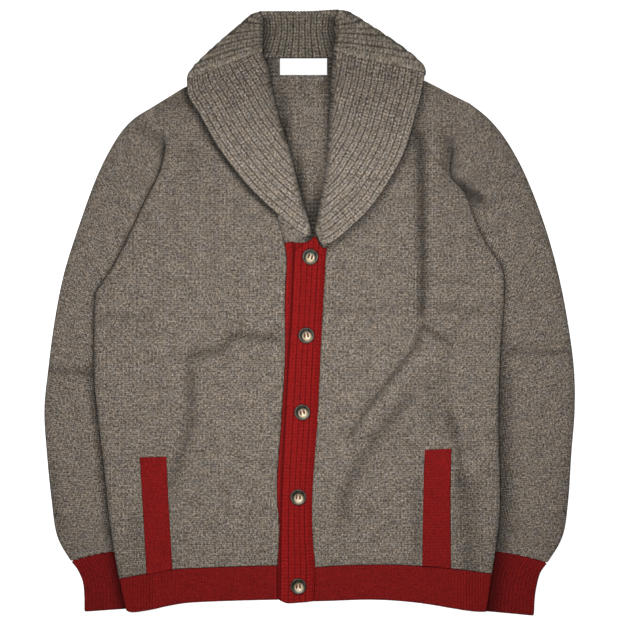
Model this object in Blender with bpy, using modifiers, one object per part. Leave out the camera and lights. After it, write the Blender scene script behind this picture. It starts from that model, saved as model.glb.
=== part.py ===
"""Shawl collar cardigan in knitted wool, laid flat on its back, front upwards.

Every panel is a knitted wall of its own thickness, laid on the one below it. The body lies on top of the
sleeves, and the back of the collar lies folded under the neck. Sizes are in millimetres and are turned to
metres when a mesh is made. X runs from the wearer's right to the wearer's left, Y from the hem to the
collar and Z up from the surface that the cardigan lies on. Left and right are the wearer's.
"""
import math

import bmesh
import bpy
import numpy as np

MM = 0.001
MERGE = 0.01
CENTRE = (0.40, 0.235)

# Walls and the gaps between them
CLOTH = 2.4
WELT = 2.4
HEM = 2.6
CUFF = 2.6
RIB_CREST = 3.4
RIB_VALLEY = 2.4
RIB_PLAIN = 3.0
LABEL = 1.0
SEAM = 0.3
LAYER = 0.6
FRONT_BASE = CLOTH + LAYER
FRONT_TOP = FRONT_BASE + CLOTH

# The body is lifted over the hidden part of each sleeve, and round the neck over the collar's back fall
SLEEVE_LIFT = 6.2
SLEEVE_RAMP = 32.0
SHOULDER_FADE = 0.893
NECK_LIFT = 3.6
FALL_CENTRE = (-5.0, 320.0)
FALL_RADII = (150.0, 82.0)
LIFT_REACH = (1.25, 1.65)
LIFT_SIDES = (160.0, 190.0)

# Body panels: shares of their height at each row, and of their width between the named columns
BODY_ROWS = np.concatenate((np.linspace(0.0, 0.55, 10), np.linspace(0.59, SHOULDER_FADE, 8),
                            np.linspace(0.93, 1.0, 3)))
HEM_ROWS = np.array([0.0, 0.5, 1.0])
FRONT_COLUMNS = (0.22, 0.42, 0.62, 0.82, 1.0)
MIDDLE_COLUMNS = (0.19, 0.5, 0.81)
LINE_STEPS = 10
LEVEL_PASSES = 40

# Outlines seen from above, as (x, y)
SIDE_RIGHT = ((-198, 257), (-191, 241), (-183, 222), (-181, 204), (-187, 176), (-203, 144), (-219, 110),
              (-243, 62), (-263, 31), (-268, 16), (-269, -71), (-266, -115), (-257, -190), (-249, -265),
              (-238, -330), (-229, -371))
SIDE_LEFT = ((201, 262), (191, 241), (179, 216), (176, 191), (177, 169), (193, 151), (204, 126), (214, 99),
             (231, 72), (242, 51), (243, 16), (238, -59), (236, -146), (238, -209), (237, -259),
             (228, -325), (221, -373))
TOP = ((-198, 257), (-158, 281), (-74, 321), (-52, 319), (22, 319), (44, 325), (147, 289), (176, 274),
       (201, 262))
HEM_SEAM = ((-240, -332), (-206, -326), (-172, -321), (-137, -319), (-41, -316), (8, -318), (38, -316),
            (101, -315), (144, -317), (194, -321), (229, -326))
HEM_EDGE = ((-230, -371), (-221, -374), (-199, -371), (-174, -366), (-137, -362), (-37, -359), (5, -361),
            (76, -359), (127, -362), (176, -369), (207, -373), (222, -373))
EDGE_RIGHT = ((-74, 322), (-67, 266), (-54, 191), (-39, 116), (-32, 89), (-29, 64), (-31, 16), (-31, -55),
              (-35, -128), (-41, -216), (-38, -269), (-40, -315), (-40, -371))
EDGE_LEFT = ((44, 326), (44, 266), (39, 191), (31, 129), (22, 83), (19, 40), (15, -31), (10, -135),
             (4, -221), (4, -278), (7, -319), (5, -371))
LIFT_EDGE_RIGHT = ((-178, 330), (-178, 212), (-151, 178), (-151, 104), (-152, -59), (-170, -202),
                   (-195, -294), (-193, -380))
LIFT_EDGE_LEFT = ((174, 330), (174, 200), (139, 180), (139, -15), (173, -128), (185, -190), (194, -295),
                  (193, -380))

# Bands: the free edge of the upper one, and the stations of their five ribs from that edge
UPPER_FREE = ((-19, 89), (-19, 80), (-22, 5), (-26, -56), (-32, -166), (-35, -234), (-36, -292), (-37, -362))
UPPER_TOP = ((-20, 88), (-12, 88), (-4, 90), (3, 93), (7, 92), (12, 84), (16, 82), (23, 81))
UNDER_TOP = ((-33, 87), (-24, 89), (-12, 88), (23, 88))
BAND_EDGE = ((-41, -358), (-36, -360), (-27, -363), (-10, -362), (6, -361))
BAND_RIBS = (0.0, 0.12, 0.24, 0.33, 0.42, 0.5, 0.58, 0.66, 0.74, 0.84, 0.94, 1.0)
BAND_BASE = FRONT_BASE + RIB_CREST + 0.4
BAND_RAMP = (0.74, 0.94)
UNDER_SHARE = 0.71
LAST_LEVEL = 10.0

# Sleeves and cuffs: outer and hidden inner edges, from the shoulder to the cuff
SLEEVE_GAP = 0.6
SLEEVE_ROWS = 14
SLEEVE_ACROSS = 6
SLEEVE_OUT_RIGHT = ((-199, 257), (-223, 241), (-243, 216), (-266, 171), (-288, 111), (-307, 51), (-319, -9),
                    (-327, -69), (-332, -121), (-329, -174), (-323, -234), (-316, -279), (-299, -310))
SLEEVE_IN_RIGHT = ((-153, 172), (-153, 104), (-154, -59), (-172, -202), (-199, -294))
SLEEVE_OUT_LEFT = ((202, 262), (226, 242), (248, 214), (271, 171), (294, 111), (311, 51), (323, -9),
                   (331, -69), (332, -121), (328, -174), (324, -234), (317, -279), (298, -312))
SLEEVE_IN_LEFT = ((141, 172), (141, -15), (176, -128), (188, -190), (198, -295))
CUFF_OUT_RIGHT = ((-299, -310), (-291, -320), (-284, -336), (-282, -355), (-282, -374))
CUFF_IN_RIGHT = ((-199, -294), (-199, -328), (-197, -368))
CUFF_OUT_LEFT = ((298, -312), (289, -325), (284, -344), (282, -359), (281, -379))
CUFF_IN_LEFT = ((198, -295), (197, -334), (196, -371))
CUFF_GAP = 0.5
CUFF_ROWS = 4
CUFF_ACROSS = 8
CUFF_BOW = 3.5
CUFF_SEAM = 0.9
ARMHOLE_GAP = 0.6
ARMHOLE_SHARE = 0.2
SLEEVE_BOW_SHARE = 0.1
CUFF_BOW_SHARE = 0.4
ARMHOLE_END_RIGHT = (-181.5, 204.0)
ARMHOLE_END_LEFT = (177.0, 188.0)

# Pocket welts, as left, right, bottom and top edges
WELT_RIGHT = (((-212, -180), (-209, -225), (-203, -330)), ((-178, -179), (-176, -234), (-171, -325)),
              ((-203, -327), (-171, -321)), ((-212, -180), (-178, -179)))
WELT_LEFT = (((144, -171), (142, -234), (141, -320)), ((177, -169), (176, -234), (177, -322)),
             ((141, -316.6), (177, -319.4)), ((144, -171), (177, -169)))
WELT_GAP = 0.6
WELT_ROWS = 7
WELT_COLUMNS = 6
WELT_FOOT = 0.005

# Blank label under the neck seam, as left, right, bottom and top
LABEL_SIDES = (-37.0, 22.0)
LABEL_ENDS = (297.5, 318.4)

# Shawl collar, wearer's right and left halves
LAPEL_OUT_RIGHT = ((-153, 290), (-151, 271), (-138, 250), (-113, 206), (-74, 156), (-33, 118), (-12, 101),
                   (3, 95.5))
CREASE_RIGHT = ((-59, 327), (-53, 314), (-46, 279), (-37, 241), (-25, 204), (-9, 141), (-1, 116), (3, 95.5))
NECK_RIGHT = ((-74, 321), (-67, 266), (-54, 191), (-39, 116), (-32, 90))
MITRE_RIGHT = ((-153, 291), (-59, 327))
LAPEL_OUT_LEFT = ((144, 299), (139, 270), (132, 245), (120, 204), (102, 169), (77, 132), (48, 104),
                  (31, 90), (19, 85))
CREASE_LEFT = ((30, 327), (28, 312), (26, 266), (23, 216), (18, 166), (11, 126), (8, 101), (17, 85))
NECK_LEFT = ((44, 325), (44, 266), (39, 191), (31, 129), (23.5, 86))
MITRE_LEFT = ((144, 300), (30, 327))
LAPEL_LINE_RIGHT = ((-162, 290), (-151, 271), (-138, 249), (-113, 206), (-74, 156), (-33, 118), (3, 95.5))
LAPEL_LINE_LEFT = ((154, 345), *LAPEL_OUT_LEFT)
LAPEL_RIBS_RIGHT = 13
LAPEL_RIBS_LEFT = 14
FALL_CLEAR = 1.0
NECK_SEAM = 1.2
LAPEL_FALL_ROWS = 8
LAPEL_STAND_ROWS = 2
LINE_FINE_STEPS = 24
FALL_SPREAD = 0.3
STAND_RISE = 1.2
STAND_RISE_FROM = 285.0
STAND_RISE_OVER = 30.0
ROLL_TURNS = (45, 0, -45, -90)
ROLL_GAP = 2.4
ROLL_REACH = 45.0

# Back of the collar: its top edge, the creases and silhouettes of its wings, and the angles in degrees that
# its hidden edge spans round FALL_CENTRE
TOP_EDGE = ((-62, 377), (-40, 377.5), (0, 377.5), (20, 378.5), (36, 379))
WING_CREASE_RIGHT = ((-58, 369), (-58, 350), (-59, 327))
WING_CREASE_LEFT = ((32, 370), (33, 352), (30, 327))
WING_OUT_RIGHT = ((-62, 377), (-72, 373), (-82, 364), (-112, 338), (-137, 315), (-150, 300), (-153, 291))
WING_OUT_LEFT = ((36, 379), (47, 377), (57, 371), (88, 351), (126, 324), (142, 309), (144, 300))
BACK_RIBS = 12
WING_RIBS_RIGHT = 5
WING_RIBS_LEFT = 4
STAND_BASE = 3.8
STAND_FOOT = (-71.0, 42.0)
STAND_ROWS = (1.0, 0.66, 0.33, 0.0)
STAND_TUCK = 2.0
WING_RISE = 10.0
WING_ROLL_SHARE = 0.15
WING_INSET_SHARE = 0.08
WING_GAP_POWER = 0.8
FALL_GAP = 0.8
FALL_GAP_END = FRONT_TOP + FALL_GAP + NECK_LIFT - RIB_PLAIN
FALL_TOP_STEPS = 4
FALL_UNDER_STEPS = 2
FOLD_SHARE = 0.75
FALL_TURN = (204.0, 222.0, 318.0, 338.0)

# Soft folds of the fronts, as ends, height and half width
FOLDS = (((139, 190), (139, 20), 1.2, 16.0), ((132, -15), (58, -138), 1.4, 18.0),
         ((98, -138), (48, -250), 1.2, 18.0), ((186, -130), (190, -230), 0.9, 16.0),
         ((40, 4), (122, 8), 0.8, 15.0), ((-40, -33), (-118, -42), 1.2, 18.0),
         ((-151, -75), (-168, -190), 1.0, 18.0), ((-172, -12), (-252, -4), 0.8, 15.0))

# Buttons
BUTTON_PLACES = ((1, 70), (-4, -28), (-9, -124), (-14, -230), (-14, -341))
BUTTON_PROFILE = ((0.0, 2.2), (5.2, 2.2), (7.2, 3.4), (9.0, 3.6), (10.1, 2.4), (9.1, 0.4), (7.4, 0.0),
                  (0.0, 0.0))
BUTTON_STEPS = 24
HOLE_RADIUS = 0.9
HOLE_PITCH = 2.1
HOLE_SIDES = 8
DRILL_LENGTH = 12.0

GREY_WOOL = ("grey_wool", (0.165, 0.145, 0.120), 0.95)
RED_WOOL = ("red_wool", (0.230, 0.012, 0.014), 0.92)
LABEL_CLOTH = ("label_cloth", (0.85, 0.85, 0.84), 0.80)
HORN = ("button_horn", (0.120, 0.090, 0.065), 0.35)


# Lines in the plan

def smooth_line(points, steps=LINE_STEPS):
    """A Catmull-Rom line through the points, as an array of x, y."""
    p = np.array([points[0], *points, points[-1]], dtype=float)
    t = np.linspace(0.0, 1.0, steps, endpoint=False)[:, None]
    runs = []
    for a, b, c, d in zip(p[:-3], p[1:-2], p[2:-1], p[3:]):
        runs.append(0.5 * (2 * b + (c - a) * t + (2 * a - 5 * b + 4 * c - d) * t ** 2
                           + (3 * b - a - 3 * c + d) * t ** 3))
    runs.append(p[-1:])
    return np.vstack(runs)


def x_of(points, smooth=True):
    """A function that gives a line's x at each y."""
    line = smooth_line(points) if smooth else np.array(points, dtype=float)
    line = line[np.argsort(line[:, 1])]
    return lambda y: np.interp(y, line[:, 1], line[:, 0])


def y_of(points, smooth=True):
    """A function that gives a line's y at each x."""
    line = smooth_line(points) if smooth else np.array(points, dtype=float)
    line = line[np.argsort(line[:, 0])]
    return lambda x: np.interp(x, line[:, 0], line[:, 1])


def along(line, fraction):
    """Points at fractions of a line's length."""
    steps = np.hypot(*np.diff(line, axis=0).T)
    length = np.concatenate(([0.0], np.cumsum(steps)))
    at = np.asarray(fraction) * length[-1]
    return np.stack([np.interp(at, length, line[:, 0]), np.interp(at, length, line[:, 1])], axis=-1)


def between(first, second, share):
    """A column line that lies between two others."""
    return lambda y: (1.0 - share) * first(y) + share * second(y)


def plan(columns, bottom, top, rows):
    """Nodes of a panel: columns are lines x(y), and rows are fractions from the bottom line to the top."""
    x = np.zeros((len(rows), len(columns)))
    y = np.zeros_like(x)
    for r, row in enumerate(rows):
        for c, column in enumerate(columns):
            yy = 0.0
            for _ in range(LEVEL_PASSES):
                xx = column(yy)
                yy = bottom(xx) + row * (top(xx) - bottom(xx))
            x[r, c] = xx
            y[r, c] = yy
    return x, y


side_right = x_of(SIDE_RIGHT)
side_left = x_of(SIDE_LEFT)
edge_right = x_of(EDGE_RIGHT)
edge_left = x_of(EDGE_LEFT)
lift_right = x_of(LIFT_EDGE_RIGHT, smooth=False)
lift_left = x_of(LIFT_EDGE_LEFT, smooth=False)
top_line = y_of(TOP, smooth=False)
hem_seam = y_of(HEM_SEAM)
hem_edge = y_of(HEM_EDGE)


# Heights of the layers

def clamp(value):
    return np.clip(value, 0.0, 1.0)


def neck_lift(x, y, spread=0.0):
    """How far the collar's hidden back fall lifts what lies over it; spread widens the lifted place."""
    radius = np.hypot((x - FALL_CENTRE[0]) / FALL_RADII[0], (y - FALL_CENTRE[1]) / FALL_RADII[1]) - spread
    inside = clamp((LIFT_REACH[1] - radius) / (LIFT_REACH[1] - LIFT_REACH[0]))
    sides = clamp((LIFT_SIDES[1] - np.abs(x)) / (LIFT_SIDES[1] - LIFT_SIDES[0]))
    return NECK_LIFT * inside * sides


def lift(x, y):
    """Height of the back panel's underside over the surface."""
    row = (y - hem_seam(x)) / (top_line(x) - hem_seam(x))
    fade = clamp((1.0 - row) / (1.0 - SHOULDER_FADE))
    right = clamp((lift_right(y) + SLEEVE_RAMP - x) / SLEEVE_RAMP)
    left = clamp((x - lift_left(y) + SLEEVE_RAMP) / SLEEVE_RAMP)
    return np.maximum(SLEEVE_LIFT * fade * np.maximum(right, left), neck_lift(x, y))


def folds(x, y):
    """Height of the soft folds of the fronts."""
    total = np.zeros_like(x)
    for (x0, y0), (x1, y1), height, width in FOLDS:
        share = ((x - x0) * (x1 - x0) + (y - y0) * (y1 - y0)) / ((x1 - x0) ** 2 + (y1 - y0) ** 2)
        share = clamp(share)
        away = np.hypot(x - x0 - share * (x1 - x0), y - y0 - share * (y1 - y0))
        total = total + height * np.exp(-(away / width) ** 2)
    return total


# Meshes

def material(finish):
    name, colour, roughness = finish
    made = bpy.data.materials.get(name)
    if made is None:
        made = bpy.data.materials.new(name)
        made.use_nodes = True
        shader = made.node_tree.nodes["Principled BSDF"]
        shader.inputs["Base Color"].default_value = (*colour, 1.0)
        shader.inputs["Roughness"].default_value = roughness
    return made


def place(name, mesh, finish):
    """Make an object of a mesh, in the cardigan's collection."""
    mesh.materials.append(material(finish))
    made = bpy.data.objects.new(name, mesh)
    made.location = (-CENTRE[0] * MM, -CENTRE[1] * MM, 0.0)
    cardigan.objects.link(made)
    return made


def cloth(name, patches, wall, finish, ring=False):
    """A knitted wall that grows outwards from open patches of nodes, each (x, y, z, share of the wall)."""
    bm = bmesh.new()
    shares = bm.verts.layers.deform.verify()
    for x, y, z, share in patches:
        share = np.broadcast_to(share, x.shape)
        rows, columns = x.shape
        nodes = []
        for r in range(rows):
            nodes.append([])
            for c in range(columns):
                node = bm.verts.new((x[r, c] * MM, y[r, c] * MM, z[r, c] * MM))
                node[shares][0] = share[r, c]
                nodes[-1].append(node)
        for r in range(rows - 1):
            for c in range(columns if ring else columns - 1):
                d = (c + 1) % columns
                bm.faces.new((nodes[r][c], nodes[r][d], nodes[r + 1][d], nodes[r + 1][c]))
    bmesh.ops.remove_doubles(bm, verts=bm.verts, dist=MERGE * MM)
    mesh = bpy.data.meshes.new(name)
    bm.to_mesh(mesh)
    bm.free()
    mesh.shade_smooth()
    made = place(name, mesh, finish)
    made.vertex_groups.new(name="wall")
    solid = made.modifiers.new("wall", "SOLIDIFY")
    solid.thickness = wall * MM
    solid.offset = 1.0
    solid.vertex_group = "wall"


def rib_shares(count):
    """Share of the wall at each column of a ribbed piece: crest and valley by turns."""
    valley = RIB_VALLEY / RIB_CREST
    return np.array([valley if c % 2 == 0 else 1.0 for c in range(count)])


# Body

def half_columns(side, edge, lifted, inward):
    """Columns of one half of the body, from its side to its front edge."""
    def ramp(y):
        return lifted(y) + inward * SLEEVE_RAMP

    lines = [side, between(side, lifted, 0.5), lifted, ramp]
    lines += [between(ramp, edge, share) for share in FRONT_COLUMNS]
    return lines


def under_hem_seam(x):
    return hem_seam(x) - SEAM


def body():
    """Back, two fronts and the hem ribs below them, on shared nodes."""
    right = half_columns(side_right, edge_right, lift_right, 1.0)
    left = half_columns(side_left, edge_left, lift_left, -1.0)
    middle = [between(edge_right, edge_left, share) for share in MIDDLE_COLUMNS]
    whole = right + middle + left[::-1]
    pieces = (("back", whole, 0.0, False), ("front_right", right, FRONT_BASE, True),
              ("front_left", left[::-1], FRONT_BASE, True))
    for name, columns, base, upper in pieces:
        for part, bottom, top, rows, wall, finish in (
                (name, hem_seam, top_line, BODY_ROWS, CLOTH, GREY_WOOL),
                ("hem_" + name, hem_edge, under_hem_seam, HEM_ROWS, HEM, RED_WOOL)):
            x, y = plan(columns, bottom, top, rows)
            rest = lift(x, y) + base
            z = rest
            if upper:
                side, front = (0, -1) if name == "front_right" else (-1, 0)
                if part == name:
                    z = rest + folds(x, y)
                    z[-1] = rest[-1] - SEAM
                z[:, side] = rest[:, side] - SEAM
                x[:, front] += SEAM if name == "front_left" else -SEAM
            cloth(part, [(x, y, z, 1.0)], wall, finish)


def band_rows(seam, bottom, top):
    """Rows of a band as shares of its height, level with the rows of the front and hem along its seam."""
    hem_y = plan([seam], hem_edge, hem_seam, HEM_ROWS)[1][1:, 0]
    front_y = plan([seam], hem_seam, top_line, BODY_ROWS)[1][1:, 0]
    x, y = plan([seam], bottom, top, (0.0, 1.0))
    levels = np.concatenate((hem_y, front_y))
    levels = levels[levels < y[1, 0] - LAST_LEVEL]
    return np.concatenate(([0.0], (levels - y[0, 0]) / (y[1, 0] - y[0, 0]), [1.0]))


def bands():
    """The two ribbed front bands: the wearer's left one lies on the right one."""
    free = x_of(UPPER_FREE)
    seam = x_of(EDGE_LEFT)
    under_seam = x_of(EDGE_RIGHT)
    edge = y_of(BAND_EDGE)
    shares = rib_shares(len(BAND_RIBS))
    upper = [between(free, seam, share) for share in BAND_RIBS]
    x, y = plan(upper, edge, y_of(UPPER_TOP), band_rows(seam, edge, y_of(UPPER_TOP)))
    station = np.array(BAND_RIBS)
    ramp = clamp((BAND_RAMP[1] - station) / (BAND_RAMP[1] - BAND_RAMP[0]))
    z = FRONT_BASE + (BAND_BASE - FRONT_BASE) * np.broadcast_to(ramp, x.shape)
    cloth("band_upper", [(x, y, z, shares)], RIB_CREST, RED_WOOL)
    hidden = between(free, seam, UNDER_SHARE)
    under = [between(under_seam, hidden, share) for share in BAND_RIBS]
    x, y = plan(under, edge, y_of(UNDER_TOP), band_rows(under_seam, edge, y_of(UNDER_TOP)))
    cloth("band_under", [(x, y, np.full_like(x, FRONT_BASE), shares)], RIB_CREST, RED_WOOL)


def welts():
    """The pocket welts, raised from the fronts' surface."""
    for name, (left, right, bottom, top) in (("welt_right", WELT_RIGHT), ("welt_left", WELT_LEFT)):
        lines = [between(x_of(left), x_of(right), share) for share in np.linspace(0.0, 1.0, WELT_COLUMNS)]
        x, y = plan(lines, y_of(bottom, smooth=False), y_of(top, smooth=False),
                    np.linspace(WELT_FOOT, 1.0, WELT_ROWS))
        z = lift(x, y) + folds(x, y) + FRONT_TOP + WELT_GAP
        cloth(name, [(x, y, z, 1.0)], WELT, RED_WOOL)


def label():
    """The blank woven label, on the inside of the back under the neck seam."""
    x, y = np.meshgrid(LABEL_SIDES, LABEL_ENDS)
    z = np.full_like(x, NECK_LIFT + CLOTH + SEAM)
    cloth("label", [(x, y, z, 1.0)], LABEL, LABEL_CLOTH)


# Sleeves

def flat_tube(name, out_line, in_line, across, rows, wall, gap, finish, bend):
    """A flattened tube: its sections run from an outer edge to an inner one, and bend shifts them."""
    fractions = np.linspace(0.0, 1.0, rows + 1)
    outer = along(smooth_line(out_line), fractions)
    inner = along(smooth_line(in_line), fractions)
    shares = np.linspace(0.0, 1.0, across)
    inset = wall + gap / 2
    x = np.zeros((rows + 1, 2 * across + 2))
    y = np.zeros_like(x)
    z = np.zeros_like(x)
    for r in range(rows + 1):
        chord = inner[r] - outer[r]
        way = chord / np.hypot(*chord)
        start = outer[r] + way * inset
        run = chord - 2 * way * inset
        flat = start + shares[:, None] * run + bend(fractions[r], shares)
        ring = np.vstack((flat, inner[r] - way * wall + bend(fractions[r], shares[-1:]), flat[::-1],
                          outer[r] + way * wall + bend(fractions[r], shares[:1])))
        x[r] = ring[:, 0]
        y[r] = ring[:, 1]
        z[r] = np.concatenate((np.full(across, wall + gap), (inset,), np.full(across, wall), (inset,)))
    if x[0, 0] < 0:
        x, y, z = x[::-1], y[::-1], z[::-1]
    cloth(name, [(x, y, z, 1.0)], wall, finish, ring=True)


def armhole_bend(side, tip, corner, inner, away):
    """Bends the first sections of a sleeve from a straight line onto the armhole edge."""
    def bend(fraction, shares):
        weight = clamp(1.0 - fraction / ARMHOLE_SHARE) ** 2
        y = tip[1] + shares * (inner[1] - tip[1])
        edge = side(y) + away
        hidden = corner[0] + (inner[0] - corner[0]) * clamp((corner[1] - y) / (corner[1] - inner[1]))
        x = np.where(y > corner[1], edge, hidden)
        straight = tip[0] + shares * (inner[0] - tip[0])
        bow = CUFF_BOW * np.sin(math.pi * shares) * clamp(1.0 - (1.0 - fraction) / SLEEVE_BOW_SHARE)
        return np.stack([weight * (x - straight), bow], axis=-1)

    return bend


def cuff_bend(fraction, shares):
    """Bows a cuff's top edge like the sleeve's end."""
    bow = CUFF_BOW * np.sin(math.pi * shares) * clamp(1.0 - fraction / CUFF_BOW_SHARE)
    bow = bow - CUFF_SEAM * (fraction == 0.0)
    return np.stack([np.zeros_like(shares), bow], axis=-1)


def sleeves():
    """Sleeves and cuffs."""
    for side, out_line, in_line, cuff_out, cuff_in, edge, corner, away in (
            ("right", SLEEVE_OUT_RIGHT, SLEEVE_IN_RIGHT, CUFF_OUT_RIGHT, CUFF_IN_RIGHT, side_right,
             ARMHOLE_END_RIGHT, -ARMHOLE_GAP),
            ("left", SLEEVE_OUT_LEFT, SLEEVE_IN_LEFT, CUFF_OUT_LEFT, CUFF_IN_LEFT, side_left,
             ARMHOLE_END_LEFT, ARMHOLE_GAP)):
        bend = armhole_bend(edge, out_line[0], corner, in_line[0], away)
        flat_tube("sleeve_" + side, out_line, in_line, SLEEVE_ACROSS, SLEEVE_ROWS, CLOTH, SLEEVE_GAP,
                  GREY_WOOL, bend)
        flat_tube("cuff_" + side, cuff_out, cuff_in, CUFF_ACROSS, CUFF_ROWS, CUFF, CUFF_GAP, RED_WOOL,
                  cuff_bend)


# Shawl collar

def over_front(x, y):
    """Height at which the collar's fall passes over the fronts."""
    return FRONT_TOP + FALL_CLEAR + np.maximum(neck_lift(x, y, FALL_SPREAD), lift(x, y))


def stand_height(x, y):
    """Upper face of the lapel's hidden stand, which lies on the back panel."""
    rise = STAND_RISE * clamp((y - STAND_RISE_FROM) / STAND_RISE_OVER)
    return neck_lift(x, y, FALL_SPREAD) + CLOTH + LAYER + rise + RIB_PLAIN


def path_after(path, measure):
    """The rest of a path from the point where a measure along it first turns positive."""
    first = int(np.argmax(measure > 0.0))
    if first == 0:
        return path
    share = measure[first] / (measure[first] - measure[first - 1])
    return np.vstack((path[first] + share * (path[first - 1] - path[first]), path[first:]))


def mirrored(points, side):
    """A line's points, turned over for the wearer's left half."""
    return [(side * x, y) for x, y in points]


def lapel(name, side, ribs, outer, line, crease, neck, mitre):
    """Half of the shawl: a fall ribbed along a line near its outer edge, the roll, and the hidden stand.

    It is laid out on the wearer's right, where side is 1, and turned over where side is -1.
    """
    rim = smooth_line(mirrored(line, side), LINE_FINE_STEPS)
    outer_x = x_of(mirrored(outer, side))
    crease_x = x_of(mirrored(crease, side))
    neck_x = x_of(mirrored(neck, side))
    mitre_y = y_of(mirrored(mitre, side), smooth=False)
    tangent = np.gradient(rim, axis=0)
    tangent /= np.hypot(*tangent.T)[:, None]
    normal = np.stack([-tangent[:, 1], tangent[:, 0]], axis=-1)
    radius = ROLL_GAP / 2
    tuck = RIB_PLAIN + radius
    top_x = side * crease[0][0] - tuck
    top = np.array([top_x, mitre_y(top_x) - 2 * SEAM])
    depth = np.min(np.hypot(*(rim - top).T))
    columns = 2 * ribs
    falls = []
    for c in range(columns):
        path = rim + normal * depth * c / columns
        path[:, 0] += (outer_x(rim[:, 1]) - rim[:, 0]) * (1.0 - c / columns)
        path = path_after(path, mitre_y(path[:, 0]) - 2 * SEAM - path[:, 1])
        path = path_after(path[::-1], crease_x(path[::-1, 1]) - tuck - path[::-1, 0])[::-1]
        falls.append(along(path, np.linspace(0.0, 1.0, LAPEL_FALL_ROWS + 1)))
    falls.append(np.repeat(top[None, :], LAPEL_FALL_ROWS + 1, axis=0))
    low = falls[0][-1][1]
    high = top[1]
    neck_low, neck_high = neck[-1][1], neck[0][1]
    nodes = []
    for c, fall in enumerate(falls):
        roll = fall[-1]
        base = stand_height(side * roll[0], roll[1])
        fold_x = crease_x(fall[:, 1]) - tuck
        fold_z = stand_height(side * fold_x, fall[:, 1]) + ROLL_GAP
        reach = clamp(1.0 - (fold_x - fall[:, 0]) / ROLL_REACH)
        over = over_front(side * fall[:, 0], fall[:, 1])
        fall_z = over + (fold_z - over) * reach * (2.0 - reach)
        line = [(*p, h) for p, h in zip(fall, fall_z)]
        for angle in ROLL_TURNS:
            turn = math.radians(angle)
            line.append((roll[0] + radius * math.cos(turn), roll[1], base + radius + radius * math.sin(turn)))
        share = (roll[1] - low) / (high - low)
        end_y = neck_low + share * (neck_high - neck_low)
        end = np.array([neck_x(end_y) + NECK_SEAM, end_y])
        for step in range(1, LAPEL_STAND_ROWS + 1):
            at = roll + (end - roll) * step / LAPEL_STAND_ROWS
            line.append((at[0], at[1], stand_height(side * at[0], at[1])))
        nodes.append(line)
    grid = np.array(nodes)
    shares = np.ones(grid.shape[:2]) * RIB_PLAIN / RIB_CREST
    shares[:, :LAPEL_FALL_ROWS + 2] = rib_shares(columns + 1)[:, None]
    x, y, z = grid[..., 0] * side, grid[..., 1], grid[..., 2]
    if side > 0:
        x, y, z, shares = x[:, ::-1], y[:, ::-1], z[:, ::-1], shares[:, ::-1]
    cloth(name, [(x.T, y.T, z.T, shares.T)], RIB_CREST, GREY_WOOL)


def fall_hem(turn):
    """A point of the hidden edge of the collar's back fall."""
    angle = math.radians(turn)
    return np.array([FALL_CENTRE[0] + FALL_RADII[0] * math.cos(angle),
                     FALL_CENTRE[1] + FALL_RADII[1] * math.sin(angle)])


def wing_paths(crease, out_line, turn_from, turn_to, side, count):
    """Sections of one wing of the collar's back piece, from the corner of the neck to the mitre.

    Each is the inner end of its top layer, the silhouette, that end's height, the gap between its two
    layers, the hidden edge below, and the way and radius of its roll at the crease.
    """
    edge = along(smooth_line(crease), np.linspace(0.0, 1.0, count + 1))
    rim = along(smooth_line(out_line), np.linspace(0.0, 1.0, count + 1))
    paths = []
    for c in range(count + 1):
        share = c / count
        roll = ROLL_GAP / 2 * clamp(share / WING_ROLL_SHARE)
        inset = (RIB_CREST + roll) * clamp(share / WING_INSET_SHARE)
        way = (rim[c] - edge[c]) / np.hypot(*(rim[c] - edge[c]))
        level = np.array([side, 0.0])
        way = level + (way - level) * share ** 2
        start = edge[c] + way * inset
        high = STAND_BASE + WING_RISE * (1.0 - (1.0 - share) ** 2)
        gap = FALL_GAP + share ** WING_GAP_POWER * (FALL_GAP_END - FALL_GAP)
        hem = fall_hem(turn_from + (turn_to - turn_from) * share)
        paths.append((start, rim[c], high, gap, hem, roll * way))
    return paths


def collar_section(start, rim, high, gap, hem):
    """One section of the collar's back: along the top to the fold, round it, and along the underside."""
    back = start - rim
    way = back / np.hypot(*back)
    inset = RIB_PLAIN + gap / 2
    fold_top = rim + way * min(inset, np.hypot(*back) * FOLD_SHARE)
    under = hem - rim
    under_way = under / np.hypot(*under)
    low = rim + under_way * inset
    level = RIB_PLAIN + gap
    points = []
    for step in range(FALL_TOP_STEPS):
        at = start + (fold_top - start) * step / FALL_TOP_STEPS
        reach = clamp(1.0 - np.hypot(*(at - start)) / ROLL_REACH)
        points.append((at[0], at[1], level + (high - level) * reach * (2.0 - reach)))
    points.append((fold_top[0], fold_top[1], level))
    for angle in ROLL_TURNS:
        turn = math.radians(angle)
        root = fold_top if angle > 0 else low
        out_way = -way if angle > 0 else -under_way
        at = root + out_way * (gap / 2) * math.cos(turn)
        points.append((at[0], at[1], RIB_PLAIN + gap / 2 + gap / 2 * math.sin(turn)))
    for step in range(1, FALL_UNDER_STEPS + 1):
        at = low + (hem - low) * step / FALL_UNDER_STEPS
        points.append((at[0], at[1], RIB_PLAIN))
    return points


def collar_stand(ends, ribs):
    """Patch of the stand: it rises from the neck seam to the top roll, whose points are its ends."""
    count = len(ends) - 1
    stand = []
    for c, (end_x, end_y, _) in enumerate(ends):
        share = c / count
        foot_x = STAND_FOOT[0] + share * (STAND_FOOT[1] - STAND_FOOT[0])
        foot_y = top_line(foot_x) + 2 * SEAM
        line = []
        for drop in STAND_ROWS:
            tuck = (1.0 - 2.0 * share) * STAND_TUCK * (0.0 < drop < 0.5)
            line.append((end_x + (foot_x - end_x) * drop ** 3 + tuck, end_y + (foot_y - end_y) * drop,
                         STAND_BASE))
        stand.append(line)
    stand = np.array(stand)
    return (stand[..., 0], stand[..., 1], stand[..., 2], np.broadcast_to(ribs[:, None], stand.shape[:2]))


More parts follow.
